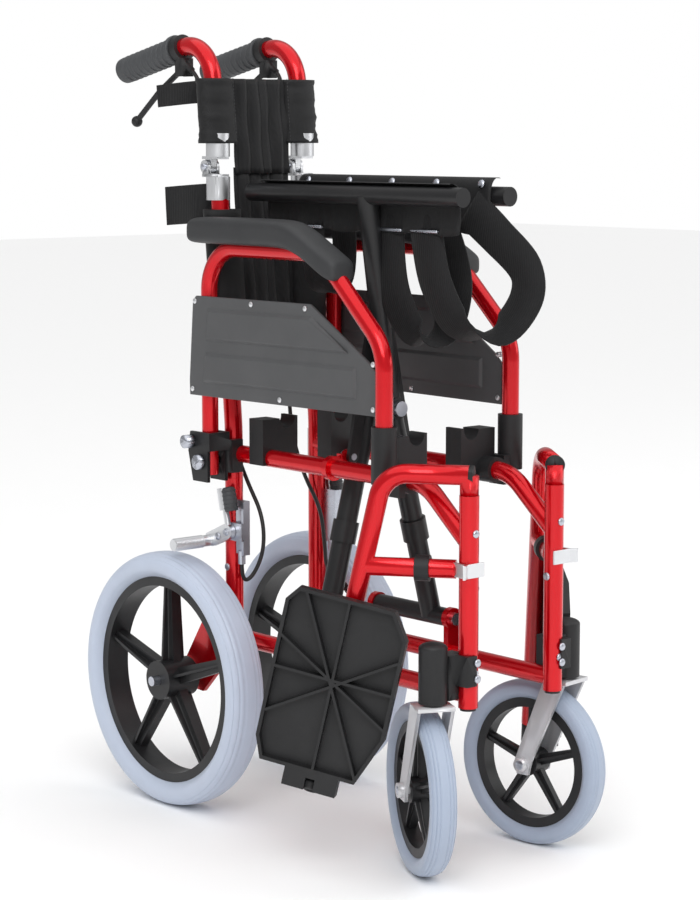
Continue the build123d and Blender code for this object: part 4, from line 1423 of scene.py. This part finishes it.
# ---------------------------------------------------------------- armrest
@dataclass
class Armrest:
    """A moulded pad and a pressed guard panel with rivets.

    Attributes:
        x: The armrest's plane.
        width: The pad's width.
        stations: The pad's sections as Y, bottom, top and share of the width.
        guard_half: Half the guard's thickness.
        guard_raise: How far a field stands proud.
        guard_x: The guard's plane at its front edge, inside the tube, and its rear edge, outside it.
        guard_y: The guard's front and rear edges.
        rivets: Places of the rivets as Y and Z.
    """

    x: float = 0.098
    width: float = 0.0400
    stations: tuple[tuple[float, float, float, float], ...] = (
        (0.1455, 0.7030, 0.7135, 0.55), (0.1448, 0.6985, 0.7190, 0.80), (0.1410, 0.6955, 0.7232, 0.94),
        (0.1300, 0.6945, 0.7253, 1.0), (0.0700, 0.6945, 0.7256, 1.0), (0.0000, 0.6945, 0.7256, 1.0),
        (-0.0280, 0.6940, 0.7252, 1.0), (-0.0440, 0.6920, 0.7225, 1.0), (-0.0620, 0.6865, 0.7150, 1.0),
        (-0.0820, 0.6770, 0.7045, 1.0), (-0.1010, 0.6660, 0.6945, 1.0), (-0.1160, 0.6600, 0.6870, 0.97),
        (-0.1240, 0.6600, 0.6825, 0.88), (-0.1268, 0.6635, 0.6775, 0.60),
    )
    guard_half: float = 0.0018
    guard_raise: float = 0.0030
    guard_x: tuple[float, float] = (0.0965, 0.1100)
    guard_y: tuple[float, float] = (-0.1825, 0.1435)
    rivets: tuple[tuple[float, float], ...] = (
        (0.138, 0.5195), (0.1325, 0.6255), (0.030, 0.6265), (-0.064, 0.6265), (-0.1765, 0.5700),
        (-0.1765, 0.5195), (-0.020, 0.5180),
    )

    def build(self, side: Side) -> None:
        """Builds the pad, the guard and the rivets.

        Args:
            side: The chair's side.
        """
        pad = self._pad(side)
        self._guard(side)
        heads = [
            ((self._guard_plane(y) + way * (self.guard_half + 0.0003), y, z), (way, 0, 0))
            for way in (1, -1) for y, z in self.rivets
        ]
        rivets = GROW.fasteners.grow(side.node("guard_rivets"), seed_points(heads, side), ALUMINIUM,
                                     Radius=0.0034, Height=0.42)
        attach(rivets, side.node("armrest"))

    def _pad(self, side: Side) -> bpy.types.Object:
        """The crowned pad, cut as closed sections along Y.

        Args:
            side: The chair's side.

        Returns:
            The pad.
        """
        draft = Draft()
        count = 40
        rings = []
        for y, low, high, share in self.stations:
            ring = []
            for i in range(count):
                turn = 2 * pi * i / count
                c, s = cos(turn), sin(turn)
                px = self.x + self.width / 2 * share * abs(c) ** 0.52 * (1 if c > 0 else -1)
                pz = (low + high) / 2 + (high - low) / 2 * abs(s) ** 0.5 * (1 if s > 0 else -1)
                crown = 0.0012 * (1 - ((px - self.x) / (self.width / 2)) ** 2) if s > 0 else 0.0
                ring.append(Vector((px, y, pz + crown)))
            rings.append(ring)
        draft.rings(rings)
        pad = draft.finish(side.node("arm_pad_skin"), PAD, side)
        modified(pad, "SUBSURF", levels=2, render_levels=2)
        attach(pad, side.node("armrest"))
        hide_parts(side.node("arm_pad"))
        return pad

    def _guard_plane(self, y: float) -> float:
        """The guard's middle plane at a place along it."""
        share = (y - self.guard_y[0]) / (self.guard_y[1] - self.guard_y[0])
        return self.guard_x[0] + (self.guard_x[1] - self.guard_x[0]) * share

    def _guard(self, side: Side) -> None:
        """The guard panel with two raised fields on each face.

        Args:
            side: The chair's side.
        """
        outline = [(0.1435, 0.512), (0.1440, 0.530), (0.1368, 0.626), (0.1310, 0.632), (-0.0720, 0.632),
                   (-0.1685, 0.572), (-0.1825, 0.560), (-0.1825, 0.512)]
        draft = Draft()
        draft.plate(outline, (self.x - self.guard_half, self.x + self.guard_half))
        fields = (
            [(0.118, 0.5275), (0.1145, 0.5655), (-0.150, 0.5655), (-0.150, 0.5275)],
            [(0.1125, 0.5785), (0.109, 0.6185), (-0.0755, 0.6185), (-0.1380, 0.5785)],
        )
        for way in (-1, 1):
            face = self.x + way * self.guard_half
            for corners in fields:
                my = sum(p[0] for p in corners) / 4
                mz = sum(p[1] for p in corners) / 4
                ring0, ring1 = [], []
                for y, z in corners:
                    dy, dz = my - y, mz - z
                    inset = 0.0042
                    ring0.append(Vector((face - way * 0.0006, y, z)))
                    ring1.append(Vector((face + way * self.guard_raise, y + inset * (1 if dy > 0 else -1),
                                         z + inset * (1 if dz > 0 else -1))))
                draft.rings([ring0, ring1])
        for vertex in draft.mesh.verts:
            vertex.co.x += self._guard_plane(vertex.co.y) - self.x
        guard = draft.finish(side.node("guard_panel"), GUARD, side, smooth=False)
        modified(guard, "BEVEL", width=0.0009, segments=2, limit_method="ANGLE")
        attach(guard, side.node("armrest"))
        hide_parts(side.node("skirt_guard"))


# ---------------------------------------------------------------- brakes
@dataclass
class BrakeGear:
    """Cable jacket, brake lever grip, serrated shoe and bolt heads.

    Attributes:
        route: The cable's control points.
        jacket: The cable's radius.
        x: The brake arm's plane.
        pivot: The brake arm's pivot as Y and Z.
        shoe: The shoe bar's axis as Y and Z.
        shoe_end: The shoe bar's outboard end.
    """

    route: tuple[Point, ...] = (
        (0.066, 0.1943, 0.9007), (0.066, 0.1833, 0.8927), (0.058, 0.1813, 0.8707), (0.049, 0.1773, 0.8367),
        (0.047, 0.1723, 0.7907), (0.048, 0.1683, 0.7327), (0.049, 0.1613, 0.6747), (0.048, 0.1583, 0.6147),
        (0.049, 0.1523, 0.5547), (0.048, 0.1503, 0.4967), (0.047, 0.1403, 0.4447), (0.045, 0.1163, 0.4007),
        (0.046, 0.0863, 0.3647), (0.048, 0.0803, 0.3227), (0.058, 0.0903, 0.2887), (0.072, 0.0945, 0.2840),
        (0.072, 0.0945, 0.3060),
    )
    jacket: float = 0.0025
    x: float = 0.085
    pivot: tuple[float, float] = (0.1035, 0.346)
    shoe: tuple[float, float] = (0.1395, 0.331)
    shoe_end: float = 0.142

    def build(self, side: Side) -> None:
        """Builds one side's brake pieces.

        Args:
            side: The chair's side.
        """
        self._cable(side)
        self._serrations(side)
        self._lever_grip(side)
        heads = [((self.x + 0.0035, *self.pivot), (1, 0, 0)), ((self.x + 0.0031, 0.121, 0.3385), (1, 0, 0))]
        bolts = GROW.fasteners.grow(side.node("brake_arm_bolts"), seed_points(heads, side), ZINC,
                                    Radius=0.0048, Height=0.5)
        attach(bolts, side.node("brake_arm"))

    def _cable(self, side: Side) -> None:
        """The cable's jacket on one smooth line.

        Args:
            side: The chair's side.
        """
        curve = bpy.data.curves.new(side.node("cable_line"), "CURVE")
        curve.dimensions = "3D"
        curve.bevel_depth = self.jacket
        curve.bevel_resolution = 4
        curve.resolution_u = 10
        curve.use_fill_caps = True
        spline = curve.splines.new("NURBS")
        spline.points.add(len(self.route) - 1)
        for point, place in zip(spline.points, self.route):
            point.co = (place[0] * side.sign, place[1], place[2], 1.0)
        spline.order_u = 3
        spline.use_endpoint_u = True
        line = bpy.data.objects.new(side.node("cable_line"), curve)
        bpy.context.scene.collection.objects.link(line)
        bpy.context.view_layer.update()
        data = bpy.data.meshes.new_from_object(line.evaluated_get(bpy.context.evaluated_depsgraph_get()))
        bpy.data.objects.remove(line)
        data.materials.clear()
        data.materials.append(CABLE.material())
        for polygon in data.polygons:
            polygon.use_smooth = True
        cable = bpy.data.objects.new(side.node("brake_cable_jacket"), data)
        bpy.context.scene.collection.objects.link(cable)
        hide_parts(side.node("brake_cable"))
        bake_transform(cable)

    def _serrations(self, side: Side) -> None:
        """Fine ridges round the shoe bar.

        Args:
            side: The chair's side.
        """
        line = [(self.x + 0.014, *self.shoe), (self.shoe_end - 0.002, *self.shoe)]
        ridges = GROW.ribs.grow(side.node("brake_shoe_ridges"), seed_line([line], side), ALUMINIUM,
                                Count=20, Radius=0.0070, Bead=0.0008)
        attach(ridges, side.node("brake_arm"))

    def _lever_grip(self, side: Side) -> None:
        """A black ribbed sleeve on the parking lever, between a pale collar and a round end.

        Args:
            side: The chair's side.
        """
        start, end = Vector((self.x, 0.0975, 0.372)), Vector((self.x, 0.1035, 0.398))
        axis = (end - start).normalized()
        length = (end - start).length
        draft = Draft()
        draft.turned([(0.0, 0.0015), (0.0, 0.0074), (0.001, 0.0080), (length * 0.5, 0.0084), (length, 0.0080),
                      (length + 0.0022, 0.0062), (length + 0.0030, 0.0015)], start, axis, 32)
        grip = draft.finish(side.node("parking_lever_grip"), GRIP, side)
        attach(grip, side.node("brake_arm"))
        line = [start + axis * 0.004, end - axis * 0.002]
        ribs = GROW.ribs.grow(side.node("parking_lever_ribs"), seed_line([line], side),
                              GRIP, Count=5, Radius=0.0081, Bead=0.0009)
        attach(ribs, side.node("brake_arm"))


# ---------------------------------------------------------------- frame trim
@dataclass
class FrameTrim:
    """Release clips, caps and bolt heads on the side frames.

    Attributes:
        frame_x: The side frame's plane.
        front_y: The front upright's place.
    """

    frame_x: float = 0.066
    front_y: float = -0.2985

    def build(self, side: Side) -> None:
        """Builds one side's trim.

        Args:
            side: The chair's side.
        """
        self._release_clip(side)
        self._bolts(side)
        self._castor_caps(side)

    def _release_clip(self, side: Side) -> None:
        """The bright release clip on the front upright.

        Args:
            side: The chair's side.
        """
        draft = Draft()
        x, y = self.frame_x, self.front_y
        low, high = 0.3445, 0.3605
        outline = [
            (x - 0.012, y - 0.0125), (x + 0.013, y - 0.0125), (x + 0.021, y - 0.0170),
            (x + 0.024, y - 0.0155), (x + 0.0165, y - 0.0105), (x + 0.0150, y + 0.0120),
            (x + 0.0122, y + 0.0120), (x + 0.0118, y - 0.0098), (x - 0.012, y - 0.0104),
        ]
        draft.rings([[Vector((px, py, z)) for px, py in outline] for z in (low, high)])
        clip = draft.finish(side.node("release_clip"), ALUMINIUM, side, smooth=False)
        modified(clip, "BEVEL", width=0.0007, segments=2, limit_method="ANGLE")
        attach(clip, side.node("frame"))

    def _bolts(self, side: Side) -> None:
        """Bolt heads on the uprights and the housing bracket.

        Args:
            side: The chair's side.
        """
        x, y = self.frame_x, self.front_y
        heads = [
            ((x, y - 0.0112, 0.3925), (0, -1, 0)), ((x, y - 0.0112, 0.2375), (0, -1, 0)),
            ((x - 0.0112, y, 0.3300), (-1, 0, 0)), ((x + 0.0112, 0.1165, 0.3000), (1, 0, 0)),
            ((x + 0.0112, 0.1165, 0.2320), (1, 0, 0)), ((x + 0.0112, -0.030, 0.2130), (1, 0, 0)),
            ((x, y - 0.0150, 0.2320), (0, -1, 0)), ((x, y - 0.0150, 0.2500), (0, -1, 0)),
        ]
        bolts = GROW.fasteners.grow(side.node("frame_bolt_heads"), seed_points(heads, side), ZINC,
                                    Radius=0.0046, Height=0.5)
        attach(bolts, side.node("frame"))

    def _castor_caps(self, side: Side) -> None:
        """Round bosses on the castor axle's nuts.

        Args:
            side: The chair's side.
        """
        hub = joint_place(side.node("castor_spin"))
        axis = joint_axis(side.node("castor_spin"))
        heads = []
        for way in (-1, 1):
            at = hub + axis * way * 0.0255
            out = axis * way
            heads.append(((at.x * side.sign, at.y, at.z), (out.x * side.sign, out.y, out.z)))
        caps = GROW.fasteners.grow(side.node("castor_axle_caps"), seed_points(heads, side), ZINC,
                                   Radius=0.0072, Height=0.45)
        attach(caps, side.node("castor"))


def dress_grouped_nodes() -> None:
    """Dresses the CAD nodes that hold solids of different finishes."""
    dresser = SolidDresser()
    for side in Side:
        for piece, body, main, rest, keep in (
            ("hanger", "hanger", RED, BLACK_MOULD, 1),
            ("armrest_bracket", "frame", BLACK_MOULD, ZINC, 1),
            ("castor_housing", "frame", BLACK_MOULD, ZINC, 2),
            ("castor_fork", "castor", SILVER, ZINC, 1),
            ("brake_perch", "back_upper", BLACK_MOULD, ZINC, 1),
            ("back_hinge_lower", "frame", ALUMINIUM, ZINC, 1),
        ):
            dresser.build(side.node(piece), side.node(body), main, rest, keep)


def main() -> None:
    """Builds the studio and every sub-assembly."""
    logging.basicConfig(level=logging.INFO, format="%(name)s: %(message)s")
    Studio().build()
    dress_cad_nodes()
    dress_grouped_nodes()
    tyres, trim = Tyres(), WheelTrim()
    for side in Side:
        tyres.build(side, "rear_tyre", "wheel_spin", "rear_wheel", 0.050, 0.030, TYRE)
        tyres.build(side, "castor_tyre", "castor_spin", "castor_wheel", 0.030, 0.021, CASTOR_TYRE)
        trim.build(side, "wheel_spin", "rear_wheel", 0.117, 0.024, 0.023)
        trim.build(side, "castor_spin", "castor_wheel", 0.067, 0.015, 0.0135)
        HandGrip().build(side)
        BackRest().build(side)
        Armrest().build(side)
        BrakeGear().build(side)
        FrameTrim().build(side)
    StrapEnds().build(BackRest())
    SeatSling().build()
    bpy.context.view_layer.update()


if __name__ == "__main__":
    main()
